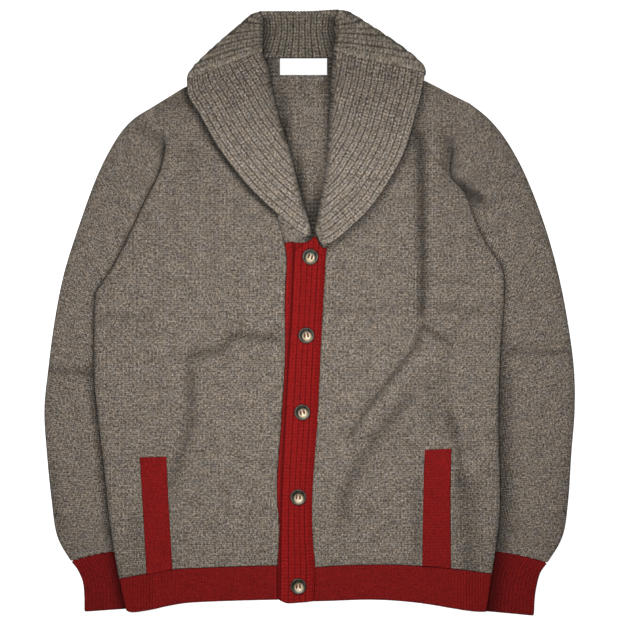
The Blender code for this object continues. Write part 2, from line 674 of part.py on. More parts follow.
def wing_roll(paths, ribs):
    """Patch of a wing's quarter turn at the crease."""
    edges = []
    for start, _, high, _, _, roll in paths:
        line = []
        for angle in (0, 45):
            turn = math.radians(angle)
            at = start - roll * math.cos(turn)
            line.append((at[0], at[1], high - np.hypot(*roll) * (1.0 - math.sin(turn))))
        edges.append([*line, (start[0], start[1], high)])
    edges = np.array(edges)
    return (edges[..., 0], edges[..., 1], edges[..., 2], np.broadcast_to(ribs[:, None], edges.shape[:2]))


def collar_back():
    """Back of the collar: the stand over the neck seam, the top roll, the fall under the neck, the wings."""
    middle = 2 * BACK_RIBS
    right = wing_paths(WING_CREASE_RIGHT, WING_OUT_RIGHT, FALL_TURN[1], FALL_TURN[0], -1.0, 2 * WING_RIBS_RIGHT)
    left = wing_paths(WING_CREASE_LEFT, WING_OUT_LEFT, FALL_TURN[2], FALL_TURN[3], 1.0, 2 * WING_RIBS_LEFT)
    right.reverse()
    top_edge = y_of(TOP_EDGE)
    corner_right = np.array(WING_CREASE_RIGHT[0])
    corner_left = np.array(WING_CREASE_LEFT[0])
    sections = [collar_section(*path[:5]) for path in right]
    for c in range(1, middle):
        share = c / middle
        start = corner_right + share * (corner_left - corner_right)
        rim_x = WING_OUT_RIGHT[0][0] + share * (WING_OUT_LEFT[0][0] - WING_OUT_RIGHT[0][0])
        hem = fall_hem(FALL_TURN[1] + share * (FALL_TURN[2] - FALL_TURN[1]))
        sections.append(collar_section(start, np.array([rim_x, top_edge(rim_x)]), STAND_BASE, FALL_GAP, hem))
    sections += [collar_section(*path[:5]) for path in left]
    grid = np.array(sections)
    ribs = rib_shares(len(sections))
    shares = np.ones(grid.shape[:2]) * RIB_PLAIN / RIB_CREST
    shares[:, :FALL_TOP_STEPS + 2] = ribs[:, None]
    inner = slice(len(right) - 1, len(right) + middle)
    patches = [(grid[..., 0], grid[..., 1], grid[..., 2], shares),
               collar_stand(grid[inner, 0], ribs[inner]),
               wing_roll(right, ribs[:len(right)]),
               wing_roll(left, ribs[-len(left):])]
    cloth("collar_back", [tuple(a[::-1] for a in patch) for patch in patches], RIB_CREST, GREY_WOOL)


# Buttons

def button_profile():
    """Half section of a button with a rolled rim and a dished face, from the top centre to the bottom one."""
    mesh = bpy.data.meshes.new("button")
    points = [(radius * MM, 0.0, height * MM) for radius, height in BUTTON_PROFILE]
    mesh.from_pydata(points, [(i, i + 1) for i in range(len(points) - 1)], [])
    return mesh


def drill():
    """The cutter for the four thread holes."""
    bm = bmesh.new()
    for x in (-HOLE_PITCH, HOLE_PITCH):
        for y in (-HOLE_PITCH, HOLE_PITCH):
            made = bmesh.ops.create_cone(bm, cap_ends=True, segments=HOLE_SIDES, radius1=HOLE_RADIUS * MM,
                                         radius2=HOLE_RADIUS * MM, depth=DRILL_LENGTH * MM)
            bmesh.ops.translate(bm, verts=made["verts"], vec=(x * MM, y * MM, 0.0))
    mesh = bpy.data.meshes.new("drill")
    bm.to_mesh(mesh)
    bm.free()
    return mesh


def buttons():
    """Five buttons down the upper band."""
    profile = button_profile()
    bit = drill()
    for number, (x, y) in enumerate(BUTTON_PLACES, start=1):
        at = ((x - CENTRE[0]) * MM, (y - CENTRE[1]) * MM, (BAND_BASE + RIB_CREST + SEAM) * MM)
        made = place(f"button_{number}", profile.copy(), HORN)
        made.location = at
        turned = made.modifiers.new("turned", "SCREW")
        turned.steps = BUTTON_STEPS
        turned.render_steps = BUTTON_STEPS
        turned.use_merge_vertices = True
        turned.merge_threshold = MERGE * MM
        turned.use_smooth_shade = False
        cutter = bpy.data.objects.new(f"drill_{number}", bit)
        cutter.location = at
        cutter.hide_render = True
        cutter.display_type = "WIRE"
        cutters.objects.link(cutter)
        cut = made.modifiers.new("holes", "BOOLEAN")
        cut.operation = "DIFFERENCE"
        cut.object = cutter


for old in list(bpy.data.objects):
    bpy.data.objects.remove(old, do_unlink=True)
cardigan = bpy.data.collections.new("shawl_collar_cardigan")
cutters = bpy.data.collections.new("cutters")
bpy.context.scene.collection.children.link(cardigan)
bpy.context.scene.collection.children.link(cutters)

body()
bands()
welts()
label()
sleeves()
lapel("lapel_right", 1.0, LAPEL_RIBS_RIGHT, LAPEL_OUT_RIGHT, LAPEL_LINE_RIGHT, CREASE_RIGHT, NECK_RIGHT,
      MITRE_RIGHT)
lapel("lapel_left", -1.0, LAPEL_RIBS_LEFT, LAPEL_OUT_LEFT, LAPEL_LINE_LEFT, CREASE_LEFT, NECK_LEFT,
      MITRE_LEFT)
collar_back()
buttons()
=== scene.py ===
"""Looks of a shawl collar cardigan in knitted wool, laid flat on its back, front upwards.

Every cloth piece is a knitted wall made from the panel's own lines, finer than the frame's solid that it
stands for. Ribs and their stitches are raised in the wall, and the fine plain knit is in the finish. A relief
level on each cloth darkens its colour: painted shade in grooves, creases, recesses and beside edges. Sizes
are in millimetres and are turned to metres when a mesh is made. X runs from the wearer's right to the
wearer's left, Y from the hem to the collar, and Z up from the surface below. Left and right are the wearer's,
and a pair of values is the right side's and the left side's.
"""
from __future__ import annotations

import logging
import math
from dataclasses import dataclass, replace
from enum import Enum, IntEnum
from functools import cache
from typing import Callable, Sequence

import bmesh
import bpy
import numpy as np
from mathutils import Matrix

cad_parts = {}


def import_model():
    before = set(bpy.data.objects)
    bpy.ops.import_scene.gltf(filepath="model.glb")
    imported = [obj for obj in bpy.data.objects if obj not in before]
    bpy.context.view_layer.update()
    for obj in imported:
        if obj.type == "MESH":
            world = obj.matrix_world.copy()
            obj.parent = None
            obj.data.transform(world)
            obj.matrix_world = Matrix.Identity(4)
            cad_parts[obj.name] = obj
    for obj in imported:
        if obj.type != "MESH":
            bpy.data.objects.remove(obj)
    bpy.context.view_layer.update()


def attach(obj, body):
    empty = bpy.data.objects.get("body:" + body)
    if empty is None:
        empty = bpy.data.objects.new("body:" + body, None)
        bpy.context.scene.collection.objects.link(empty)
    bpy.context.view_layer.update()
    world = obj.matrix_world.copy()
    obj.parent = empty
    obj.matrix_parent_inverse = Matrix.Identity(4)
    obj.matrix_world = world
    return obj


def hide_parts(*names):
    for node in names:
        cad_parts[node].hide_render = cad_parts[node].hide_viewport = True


Array = np.ndarray
Line = Callable[[Array], Array]
Point = tuple[float, float]
Points = Sequence[Point]
Triple = tuple[float, float, float]
Socket = bpy.types.NodeSocket

log = logging.getLogger("cardigan")

MM = 0.001
MERGE = 0.01
CENTRE = (0.40, 0.235)
BODY = "root"

# Walls and the gaps between them
CLOTH = 2.4
HEM = 2.6
RIB_CREST = 3.4
RIB_PLAIN = 3.0
SEAM = 0.3
LAYER = 0.6
BAND_GAP = 0.4
FRONT_BASE = CLOTH + LAYER
FRONT_TOP = FRONT_BASE + CLOTH
BAND_BASE = FRONT_BASE + RIB_CREST + BAND_GAP

# The body is lifted over the hidden part of each sleeve, and round the neck over the collar's back fall
SLEEVE_LIFT = 6.2
SLEEVE_RAMP = 32
SHOULDER_FADE = 0.893
NECK_LIFT = 3.6
FALL_CENTRE = (-5, 320)
FALL_RADII = (150, 82)
LIFT_REACH = (1.25, 1.65)
LIFT_SIDES = (160, 190)
LINE_STEPS = 10
CREASE_STEPS = 6
LEVEL_PASSES = 40

# Finer steps beside an edge, as shares of the stretch that they reach over, and the least share of a wall
EDGE_STEPS = np.array((0.0, 0.08, 0.3, 0.62, 1.0))
EDGE_LEAST = 0.12


class Side(IntEnum):
    """A side of the wearer, which numbers the two places of a pair."""

    RIGHT = 0
    LEFT = 1

    @property
    def way(self) -> int:
        """Gives the side's direction along X."""
        return 2 * self - 1


# Lines in the plan


def smooth_line(points: Points, steps: int = LINE_STEPS) -> Array:
    """Draws a Catmull-Rom line.

    Args:
        points: the points that it goes through.
        steps: how many steps it has between two of them.

    Returns:
        The line's points.
    """
    p = np.array([points[0], *points, points[-1]], dtype=float)
    t = np.linspace(0.0, 1.0, steps, endpoint=False)[:, None]
    runs = []
    for a, b, c, d in zip(p[:-3], p[1:-2], p[2:-1], p[3:]):
        second, third = 2 * a - 5 * b + 4 * c - d, 3 * b - a - 3 * c + d
        runs.append(0.5 * (2 * b + (c - a) * t + second * t ** 2 + third * t ** 3))
    return np.vstack([*runs, p[-1:]])


def reader(points: Points, smooth: bool, given: int) -> Line:
    """Reads one coordinate of a line at values of the other.

    Args:
        points: the line's points.
        smooth: whether it is smooth between them, or straight.
        given: the other coordinate's number.

    Returns:
        The line.
    """
    line = smooth_line(points) if smooth else np.array(points, dtype=float)
    line = line[np.argsort(line[:, given])]
    return lambda at: np.interp(at, line[:, given], line[:, 1 - given])


def x_of(points: Points, smooth: bool = True) -> Line:
    """Gives a line's x at each y."""
    return reader(points, smooth, 1)


def y_of(points: Points, smooth: bool = True) -> Line:
    """Gives a line's y at each x."""
    return reader(points, smooth, 0)


def lengths(line: Array) -> Array:
    """Gives the length along a line at each of its points."""
    return np.concatenate(([0.0], np.cumsum(np.hypot(*np.diff(line[:, :2], axis=0).T))))


def along(line: Array, fractions: Array) -> Array:
    """Reads every column of a line at fractions of its length."""
    length = lengths(line)
    return np.stack([np.interp(fractions * length[-1], length, column) for column in line.T], axis=-1)


def between(first: Line, second: Line, share: float) -> Line:
    """Gives a line that lies between two others, at a share of the way."""
    return lambda y: blend(first(y), second(y), share)


def ramp(value: Array, start: float = 0.0, over: float = 1.0) -> Array:
    """Gives how far values are from a start over a stretch, from 0 to 1."""
    return np.clip((value - start) / over, 0.0, 1.0)


def within(place: Array, length: float, margin: float) -> Array:
    """Gives 0 at both ends of a length and 1 from a margin on."""
    return ramp(place, 0.0, margin) * ramp(length - place, 0.0, margin)


def eased(share: Array) -> Array:
    """Rounds both ends of a ramp from 0 to 1."""
    return share * share * (3.0 - 2.0 * share)


def blend(first: Array, second: Array, share: Array) -> Array:
    """Goes a share of the way from one value to another."""
    return first + (second - first) * share


def bell(distance: Array, reach: float) -> Array:
    """Gives 1 at no distance, falling to nothing over about twice the reach."""
    return np.exp(-((distance / reach) ** 2))


# Lines seen from above, as (x, y)
SIDES = (
    x_of(((-198, 257), (-191, 241), (-183, 222), (-181, 204), (-187, 176), (-203, 144), (-219, 110),
          (-243, 62), (-263, 31), (-268, 16), (-269, -71), (-266, -115), (-257, -190), (-249, -265),
          (-238, -330), (-229, -371))),
    x_of(((201, 262), (191, 241), (179, 216), (176, 191), (177, 169), (193, 151), (204, 126), (214, 99),
          (231, 72), (242, 51), (243, 16), (238, -59), (236, -146), (238, -209), (237, -259), (228, -325),
          (221, -373))))
EDGES = (
    x_of(((-74, 322), (-67, 266), (-54, 191), (-39, 116), (-32, 89), (-29, 64), (-31, 16), (-31, -55),
          (-35, -128), (-41, -216), (-38, -269), (-40, -315), (-40, -371))),
    x_of(((44, 326), (44, 266), (39, 191), (31, 129), (22, 83), (19, 40), (15, -31), (10, -135), (4, -221),
          (4, -278), (7, -319), (5, -371))))
LIFT_EDGES = (
    x_of(((-178, 330), (-178, 212), (-151, 178), (-151, 104), (-152, -59), (-170, -202), (-195, -294),
          (-193, -380)), smooth=False),
    x_of(((174, 330), (174, 200), (139, 180), (139, -15), (173, -128), (185, -190), (194, -295), (193, -380)),
         smooth=False))
TOP = y_of(((-198, 257), (-158, 281), (-74, 321), (-52, 319), (22, 319), (44, 325), (147, 289), (176, 274),
            (201, 262)), smooth=False)
HEM_SEAM = y_of(((-240, -332), (-206, -326), (-172, -321), (-137, -319), (-41, -316), (8, -318), (38, -316),
                 (101, -315), (144, -317), (194, -321), (229, -326)))
HEM_EDGE = y_of(((-230, -371), (-221, -374), (-199, -371), (-174, -366), (-137, -362), (-37, -359), (5, -361),
                 (76, -359), (127, -362), (176, -369), (207, -373), (222, -373)))
# The collar's mitres, where the ribs turn, its creases, and the lapels' outer edges
MITRES = (((-153, 291), (-59, 327)), ((144, 300), (30, 327)))
CREASES = (((-59, 327), (-53, 314), (-46, 279), (-37, 241), (-25, 204), (-9, 141), (-1, 116), (3, 95.5)),
           ((30, 327), (28, 312), (26, 266), (23, 216), (18, 166), (11, 126), (8, 101), (17, 85)))
LAPEL_OUT = (
    ((-153, 290), (-151, 271), (-138, 250), (-113, 206), (-74, 156), (-33, 118), (-12, 101), (3, 95.5)),
    ((144, 299), (139, 270), (132, 245), (120, 204), (102, 169), (77, 132), (48, 104), (31, 90), (19, 85)))


# Heights of the layers


def measured(points: Points, x: Array, y: Array) -> tuple[Array, Array, float]:
    """Measures places in the plan against a line.

    Args:
        points: the line's points.
        x, y: the places.

    Returns:
        Distances, positive on the right of the line's way, how far along it each is nearest, and its length.
    """
    line = smooth_line(points, CREASE_STEPS)
    length = lengths(line)
    nearest = np.full(np.shape(x), np.inf)
    signed, reach = np.zeros((2, *np.shape(x)))
    for (x0, y0), (dx, dy), start in zip(line, np.diff(line, axis=0), length):
        run = max(math.hypot(dx, dy), MERGE * MM)
        share = ramp(((x - x0) * dx + (y - y0) * dy) / run ** 2)
        away_x, away_y = x - x0 - share * dx, y - y0 - share * dy
        away = np.hypot(away_x, away_y)
        closer = away < nearest
        nearest = np.where(closer, away, nearest)
        signed = np.where(closer, np.sign(away_x * dy - away_y * dx) * away, signed)
        reach = np.where(closer, start + share * run, reach)
    return signed, reach, float(length[-1])


def painted_shade_beside(points: Points, x: Array, y: Array, reach: float, depth: float) -> Array:
    """Gives a factor that darkens the colour beside a line, 1 away from it: painted shade where another piece
    lies over or against the cloth.
    """
    return 1.0 - depth * bell(measured(points, x, y)[0], reach)


@dataclass(frozen=True)
class Crease:
    """A fold of the top layer: cloth that swells on both sides of a narrow valley, darkened with painted
    shade.

    Its right side is the one on the right of the way from the first point to the last.
    """

    points: Points
    height: float
    left: float = 34
    right: float = 26
    valley: float = 7
    fade: float = 30
    valley_shade: float = 0.35
    inner_share: float = 0.95

    def shape(self, x: Array, y: Array) -> tuple[Array, Array]:
        """Works out what the fold does to the cloth.

        Args:
            x, y: places in the plan.

        Returns:
            How far it raises the cloth, and the painted shade along its valley as a factor of the colour, 1
            away from the fold.
        """
        signed, reach, length = measured(self.points, x, y)
        soft = eased(within(reach, length, self.fade))
        swell = bell(signed, np.where(signed > 0.0, self.right, self.left))
        inner = bell(signed, self.inner_share * self.valley)
        # Painted shade: the colour is darkened along the valley.
        return self.height * soft * (swell - bell(signed, self.valley)), 1.0 - self.valley_shade * soft * inner


# Folds of the fronts and of the sleeves, each from its first point to its last
SHOULDER_CREASES = (
    Crease(((-222, 240), (-198, 224), (-184, 208), (-180, 188)), 2.2, left=22, valley=11, fade=18, valley_shade=0.34),
    Crease(((173, 232), (169, 205), (171, 186), (178, 168)), 2.0, left=18, valley=11, fade=18, valley_shade=0.3))
FRONT_CREASES = (
    *SHOULDER_CREASES,
    Crease(((139, 236), (141, 110), (141, 20), (137, -14)), 6.0, valley=10, fade=16, valley_shade=0.64),
    Crease(((141, -2), (134, -39), (104, -79), (65, -132), (45, -164)), 5.0, valley=6.5, fade=16, valley_shade=0.5),
    Crease(((140, -92), (92, -146), (51, -212), (40, -280)), 4.6, valley=12, valley_shade=0.4),
    Crease(((170, -105), (186, -170), (190, -240)), 3.0, valley=10, valley_shade=0.4),
    Crease(((140, 14), (76, 5), (-12, 2)), 2.2, left=16, valley=7.5, valley_shade=0.28),
    Crease(((240, -5), (190, 5), (142, 12)), 2.4, left=16, valley=7.5, valley_shade=0.3),
    Crease(((184, -42), (160, -28), (138, -14)), 3.2, left=12, fade=8, valley=6.5, valley_shade=0.5),
    Crease(((-168, -12), (-215, -6), (-266, -3)), 2.2, left=16, valley_shade=0.3),
    Crease(((-24, -34), (-62, -31), (-92, -27), (-112, -46), (-148, -52), (-166, -56)), 4.8, left=28,
           valley=11, fade=20, valley_shade=0.46),
    Crease(((-146, -50), (-150, -142), (-170, -206), (-171, -240)), 4.6, valley=12, valley_shade=0.42),
    Crease(((203, -190), (198, -240), (200, -360)), 1.2, left=32, right=32, valley=19, valley_shade=0.42),
    Crease(((154, -50), (158, -110), (166, -165)), 1.4, left=40, right=40, valley=24, valley_shade=0.28),
    Crease(((137, -180), (134, -250), (134, -325)), 1.0, left=20, right=20, valley=9),
    Crease(((-216, -230), (-217, -290), (-216, -360)), 1.0, right=20, left=26, valley=15, valley_shade=0.32),
    Crease(((-153, 225), (-149, 190), (-150, 145)), 2.8, left=18, valley=10, valley_shade=0.25),
    Crease(((-212, 244), (-172, 257), (-134, 262)), 0.8, left=24, right=24, valley=16, valley_shade=0.26),
    Crease(((142, 290), (166, 272), (196, 256)), 0.8, left=24, right=24, valley=14, valley_shade=0.24))
SLEEVE_CREASES = (
    Crease(((-264, -75), (-295, -74), (-334, -71)), 4.0, left=16, valley=9, fade=14, valley_shade=0.42),
    Crease(((334, -49), (290, -49), (243, -47)), 4.0, left=16, fade=14, valley_shade=0.38),
    *SHOULDER_CREASES,
    Crease(((176, 176), (190, 160), (207, 147), (234, 131)), 6.0, left=20, valley=9, valley_shade=0.75),
    Crease(((-326, -170), (-320, -230), (-308, -295)), 0.8, left=20, right=20, valley=14, valley_shade=0.32),
    Crease(((326, -165), (320, -225), (312, -290)), 0.8, left=20, right=20, valley=14, valley_shade=0.22))
# Slow unevenness of cloth that lies free: wave lengths in x and y, turn, height, and how far the waves sway
UNEVEN = ((83, 121, 0.3, 0.40), (57, 74, 1.9, 0.28), (38, 46, 4.1, 0.16), (23, 29, 2.6, 0.09))
UNEVEN_SWAY = 1.3
FRONT_LEAST = 0.55
SLEEVE_LEAST = 0.35


def neck_lift(x: Array, y: Array, wider: float = 0.0) -> Array:
    """Works out how far the collar's hidden back fall lifts what lies over it.

    Args:
        x, y: places in the plan.
        wider: how much wider the lifted place is, in the fall's radii.

    Returns:
        Heights.
    """
    radius = np.hypot((x - FALL_CENTRE[0]) / FALL_RADII[0], (y - FALL_CENTRE[1]) / FALL_RADII[1]) - wider
    inside = ramp(radius, LIFT_REACH[1], LIFT_REACH[0] - LIFT_REACH[1])
    return NECK_LIFT * inside * ramp(np.abs(x), LIFT_SIDES[1], LIFT_SIDES[0] - LIFT_SIDES[1])


def lift(x: Array, y: Array) -> Array:
    """Works out how far the sleeves and the collar's back fall lift the body.

    Args:
        x, y: places in the plan.

    Returns:
        Heights of the back panel's underside over the surface.
    """
    row = (y - HEM_SEAM(x)) / (TOP(x) - HEM_SEAM(x))
    fade = ramp(row, 1.0, SHOULDER_FADE - 1.0)
    right, left = (ramp(side.way * (x - LIFT_EDGES[side](y)), -SLEEVE_RAMP, SLEEVE_RAMP) for side in Side)
    return np.maximum(SLEEVE_LIFT * fade * np.maximum(right, left), neck_lift(x, y))


def folded(creases: Sequence[Crease], x: Array, y: Array, least: float) -> tuple[Array, Array]:
    """Lays folds and slow unevenness over cloth.

    Args:
        creases: the folds.
        x, y: places in the plan.
        least: the height of cloth that has no fold.

    Returns:
        Heights, never below the plain cloth, and the painted shade of the folds as a factor of the colour.
    """
    total, grooves_and_painted_shade = np.full(np.shape(x), least), np.ones(np.shape(x))
    for wave_x, wave_y, turn, height in UNEVEN:
        sway = UNEVEN_SWAY * np.sin(y / wave_x + turn)
        total += height * np.sin(2 * math.pi * x / wave_x + sway) * np.sin(2 * math.pi * y / wave_y + turn)
    for crease in creases:
        rise, free = crease.shape(x, y)
        total += rise
        # Each fold's painted shade darkens the colour.
        grooves_and_painted_shade *= free
    return np.maximum(total, 0.0), grooves_and_painted_shade


def drape(x: Array, y: Array) -> Array:
    """Gives the height of the fronts' folds and unevenness."""
    return folded(FRONT_CREASES, x, y, FRONT_LEAST)[0]


# Knit


@dataclass(frozen=True)
class RibKnit:
    """A rib: each is two rows of stitches side by side, with a groove between one rib and the next.

    Places across are counted in rows of stitches, with a deep groove at the even numbers and a shallow one
    at the odd numbers.
    """

    pitch: float
    middle: float
    bulge: float
    slant: float
    crest: float = 3.8
    valley: float = 1.9
    roundness: float = 0.6

    def level(self, half_ribs: Array, run: Array) -> Array:
        """Gives how near the wool is to the top of the rib.

        Args:
            half_ribs: places across the ribs.
            run: places along them, in millimetres.

        Returns:
            Levels from 0 in the deep grooves to 1 on the stitches' tops.
        """
        phase = np.mod(half_ribs, 2.0)
        ridge = np.abs(np.sin(math.pi * phase)) ** self.roundness
        depth = blend(self.middle, 1.0, 0.5 + 0.5 * np.cos(math.pi * phase))
        loop = np.abs(np.sin(math.pi * (run / self.pitch + self.slant * np.abs(phase - 1.0))))
        return (1.0 - depth * (1.0 - ridge)) * (1.0 - self.bulge * (1.0 - loop))

    def wall(self, level: Array) -> Array:
        """Gives the wall's thickness at a level."""
        return blend(self.valley, self.crest, level)


COLLAR_RIB = RibKnit(pitch=3.84, middle=0.5, bulge=0.5, slant=0.22)
BAND_RIB = RibKnit(pitch=4.3, middle=0.4, bulge=0.55, slant=0.30)
COLLAR_WALE = 3.9
# Relief levels also darken the colour in the finish as painted shade; plain cloth's level paints none.
PLAIN_RELIEF = 0.85
WALE_RELIEF = 0.15


def waled(place: Array, wale: float) -> tuple[Array, Array]:
    """Gives how far a fine rib dips, 0 on a wale and 2 between two, and the relief level there, which paints
    shade between the wales.
    """
    dip = 1.0 - np.cos(2 * math.pi * place / wale)
    return dip, PLAIN_RELIEF * (1.0 - WALE_RELIEF * dip)


def rounded(distance: Array, radius: float, least: float = EDGE_LEAST) -> Array:
    """Gives the share of a wall at a distance from its edge, so that the edge is round."""
    return np.maximum(np.sqrt(1.0 - (1.0 - ramp(distance, 0.0, radius)) ** 2), least)


def edged(count: int, length: float, radius: float = CLOTH) -> Array:
    """Gives fractions of a length in so many even steps, with finer ones near its ends."""
    near = EDGE_STEPS * radius / length
    return np.concatenate((near, np.linspace(near[-1], 1.0 - near[-1], count + 1)[1:-1], 1.0 - near[::-1]))


def plan(columns: Sequence[Line], bottom: Line, top: Line, rows: Array) -> tuple[Array, Array]:
    """Lays out a panel.

    Args:
        columns: lines that give x at each y.
        bottom: the line that gives y at each x along the lowest row.
        top: the same for the highest row.
        rows: fractions of the height at each row.

    Returns:
        Grids of x and y, with a row for each of rows.
    """
    grid = []
    for column in columns:
        y = np.zeros(len(rows))
        for _ in range(LEVEL_PASSES):
            x = column(y)
            y = blend(bottom(x), top(x), rows)
        grid.append((x, y))
    return tuple(np.array(grid).transpose(1, 2, 0))


def spread(columns: Sequence[Line], spacing: float, radius: float) -> list[Line]:
    """Puts finer columns between coarse ones, with more of them next to the first and the last.

    Args:
        columns: the coarse columns.
        spacing: the most that may be between two.
        radius: how far the extra columns reach from the first and the last.

    Returns:
        All columns in their order.
    """
    fine: list[Line] = []
    for first, second in zip(columns, columns[1:]):
        width = abs(float(second(0.0) - first(0.0)))
        shares = np.linspace(0.0, 1.0, max(1, math.ceil(width / spacing)), endpoint=False)
        near = EDGE_STEPS[1:] * radius / width
        if first is columns[0]:
            shares = np.union1d(shares, near)
        if second is columns[-1]:
            shares = np.union1d(shares, 1.0 - near)
        fine += [between(first, second, share) for share in shares]
    return [*fine, columns[-1]]


def run_along(x: Array, y: Array, axis: int) -> Array:
    """Gives the length along a grid's rows or columns at each of its points."""
    steps = [np.diff(part, axis=axis, prepend=np.take(part, [0], axis=axis)) for part in (x, y)]
    return np.cumsum(np.hypot(*steps), axis=axis)


def edge_distance(x: Array, y: Array) -> tuple[Array, Array, Array, Array]:
    """Gives distances of a grid's points from its first and last column and its first and last row."""
    across, up = run_along(x, y, 1), run_along(x, y, 0)
    return across, across[:, -1:] - across, up, up[-1:] - up


def framed(x: Array, y: Array, radii: Sequence[float]) -> Array:
    """Gives the share of a wall whose four edges are round, in the order of edge_distance."""
    return np.prod([rounded(edge, radius) for edge, radius in zip(edge_distance(x, y), radii)], axis=0)


def patch(*grids: Array) -> Array:
    """Stacks a cloth's grids: its inner face's x, y and z, its wall, its place in the knit, and its relief
    level, which its finish turns into painted shade.
    """
    return np.stack(np.broadcast_arrays(*grids))


def linked(name: str, data: bpy.types.ID) -> bpy.types.Object:
    """Makes an object in the scene.

    Args:
        name: the object's name.
        data: its mesh, curve, light or camera.

    Returns:
        The object.
    """
    made = bpy.data.objects.new(name, data)
    bpy.context.scene.collection.objects.link(made)
    return made


def weave(name: str, patches: Sequence[Array], finish: bpy.types.Material) -> bpy.types.Object:
    """Makes a knitted wall that grows outwards from patches which meet at shared points.

    Args:
        name: the piece's name.
        patches: its patches, with their faces outwards.
        finish: its material.

    Returns:
        The piece, in the scene.
    """
    quads, start = [], 0
    for grids in patches:
        index = start + np.arange(grids[0].size).reshape(grids[0].shape)
        start += index.size
        around = index[:-1, :-1], index[:-1, 1:], index[1:, 1:], index[1:, :-1]
        quads.append(np.stack(around, axis=-1).reshape(-1, 4))
    faces = np.concatenate(quads)
    x, y, z, wall, u, v, relief = np.concatenate([grids.reshape(len(grids), -1) for grids in patches], axis=1)
    points = np.stack((x - CENTRE[0], y - CENTRE[1], z), axis=-1) * MM
    corners = (np.stack((u, v), axis=-1) * MM)[faces.ravel()]
    mesh = bpy.data.meshes.new(name)
    mesh.from_pydata(points.tolist(), [], faces.tolist())
    mesh.uv_layers.new(name="knit").data.foreach_set("uv", corners.astype(np.float32).ravel())
    # The relief level darkens the colour in the finish: painted shade in grooves, creases and recesses.
    mesh.attributes.new("relief", "FLOAT", "POINT").data.foreach_set("value", relief.astype(np.float32))
    bm = bmesh.new()
    bm.from_mesh(mesh)
    shares = bm.verts.layers.deform.verify()
    for vertex, share in zip(bm.verts, (wall / wall.max()).tolist()):
        vertex[shares][0] = share
    bmesh.ops.remove_doubles(bm, verts=bm.verts, dist=MERGE * MM)
    bm.to_mesh(mesh)
    bm.free()
    mesh.shade_smooth()
    mesh.materials.append(finish)
    piece = linked(name, mesh)
    piece.vertex_groups.new(name="wall")
    solid = piece.modifiers.new("wall", "SOLIDIFY")
    solid.thickness = float(wall.max()) * MM
    solid.offset = 1.0
    solid.vertex_group = "wall"
    return piece


# Finishes


class Graph:
    """Adds nodes to one tree and links them."""

    def __init__(self, tree: bpy.types.NodeTree) -> None:
        """Takes the tree."""
        self.tree = tree

    def put(self, node: bpy.types.Node, values: dict[str | int, object]) -> bpy.types.Node:
        """Fills a node's inputs.

        Args:
            node: the node.
            values: a socket to link or a value to set, by the name or number of its input.

        Returns:
            The node.
        """
        for name, value in values.items():
            if isinstance(value, bpy.types.NodeSocket):
                self.tree.links.new(value, node.inputs[name])
            else:
                node.inputs[name].default_value = value
        return node

    def add(self, kind: str, values: dict[str | int, object] | None = None,
            **settings: object) -> bpy.types.Node:
        """Adds a node.

        Args:
            kind: its type name, without the "ShaderNode" prefix.
            values: what goes into its inputs.
            settings: its own properties.

        Returns:
            The node.
        """
        node = self.tree.nodes.new("ShaderNode" + kind)
        for name, setting in settings.items():
            setattr(node, name, setting)
        return self.put(node, values or {})

    def math(self, operation: str, *values: Socket | float, hold: bool = False) -> Socket:
        """Adds a Math node, whose result may be held between 0 and 1."""
        return self.add("Math", dict(enumerate(values)), operation=operation, use_clamp=hold).outputs[0]

    def drift(self, value: Socket, middle: float, strength: Socket | float, around: Socket | float,
              hold: bool = False) -> Socket:
        """Stretches a value's distance from its middle and adds it to another."""
        return self.math("MULTIPLY_ADD", self.math("SUBTRACT", value, middle), strength, around, hold=hold)

    def vector(self, operation: str, *values: Socket | tuple) -> Socket:
        """Adds a Vector Math node and gives its result."""
        return self.add("VectorMath", dict(enumerate(values)), operation=operation).outputs[0]

    def scaled(self, vector: Socket, by: Socket | float) -> Socket:
        """Scales a vector or a colour."""
        return self.add("VectorMath", {0: vector, "Scale": by}, operation="SCALE").outputs[0]

    def mix(self, share: Socket, first: Socket | Triple, second: Socket | Triple) -> Socket:
        """Adds a colour Mix node and gives its result."""
        ends = [end if isinstance(end, bpy.types.NodeSocket) else (*end, 1.0) for end in (first, second)]
        return self.add("Mix", {0: share, 6: ends[0], 7: ends[1]}, data_type="RGBA").outputs[2]

    def noise(self, place: Socket, scale: Socket | float, detail: float, rough: float = 0.5) -> Socket:
        """Adds a Noise node and gives its value."""
        values = {"Vector": place, "Scale": scale, "Detail": detail, "Roughness": rough}
        return self.add("TexNoise", values).outputs[0]

    def wave(self, place: Socket, scale: float, distortion: float, way: str) -> Socket:
        """Adds a Wave node whose bands run one way and gives its value."""
        return self.add("TexWave", {"Vector": place, "Scale": scale, "Distortion": distortion},
                        bands_direction=way).outputs[1]

    def band(self, value: Socket, low: float, high: float) -> Socket:
        """Gives how far a value is from low to high, from 0 to 1, eased at both ends."""
        return self.add("MapRange", {0: value, 1: low, 2: high}, interpolation_type="SMOOTHSTEP").outputs[0]

    def bump(self, strength: float, depth: float, height: Socket) -> Socket:
        """Adds a Bump node of a depth in millimetres and gives its normal."""
        return self.add("Bump", {"Strength": strength, "Distance": depth * MM, "Height": height}).outputs[0]


def new_group(name: str, inputs: dict[str, str], outputs: dict[str, str]
              ) -> tuple[Graph, bpy.types.NodeOutputs, bpy.types.Node]:
    """Starts a shader node group.

    Args:
        name: the group's name.
        inputs: socket types by name.
        outputs: socket types by name.

    Returns:
        The group's graph, its input sockets and the node that its results go into.
    """
    tree = bpy.data.node_groups.new(name, "ShaderNodeTree")
    for direction, sockets in (("INPUT", inputs), ("OUTPUT", outputs)):
        for socket, kind in sockets.items():
            tree.interface.new_socket(socket, in_out=direction, socket_type="NodeSocket" + kind)
    return Graph(tree), tree.nodes.new("NodeGroupInput").outputs, tree.nodes.new("NodeGroupOutput")


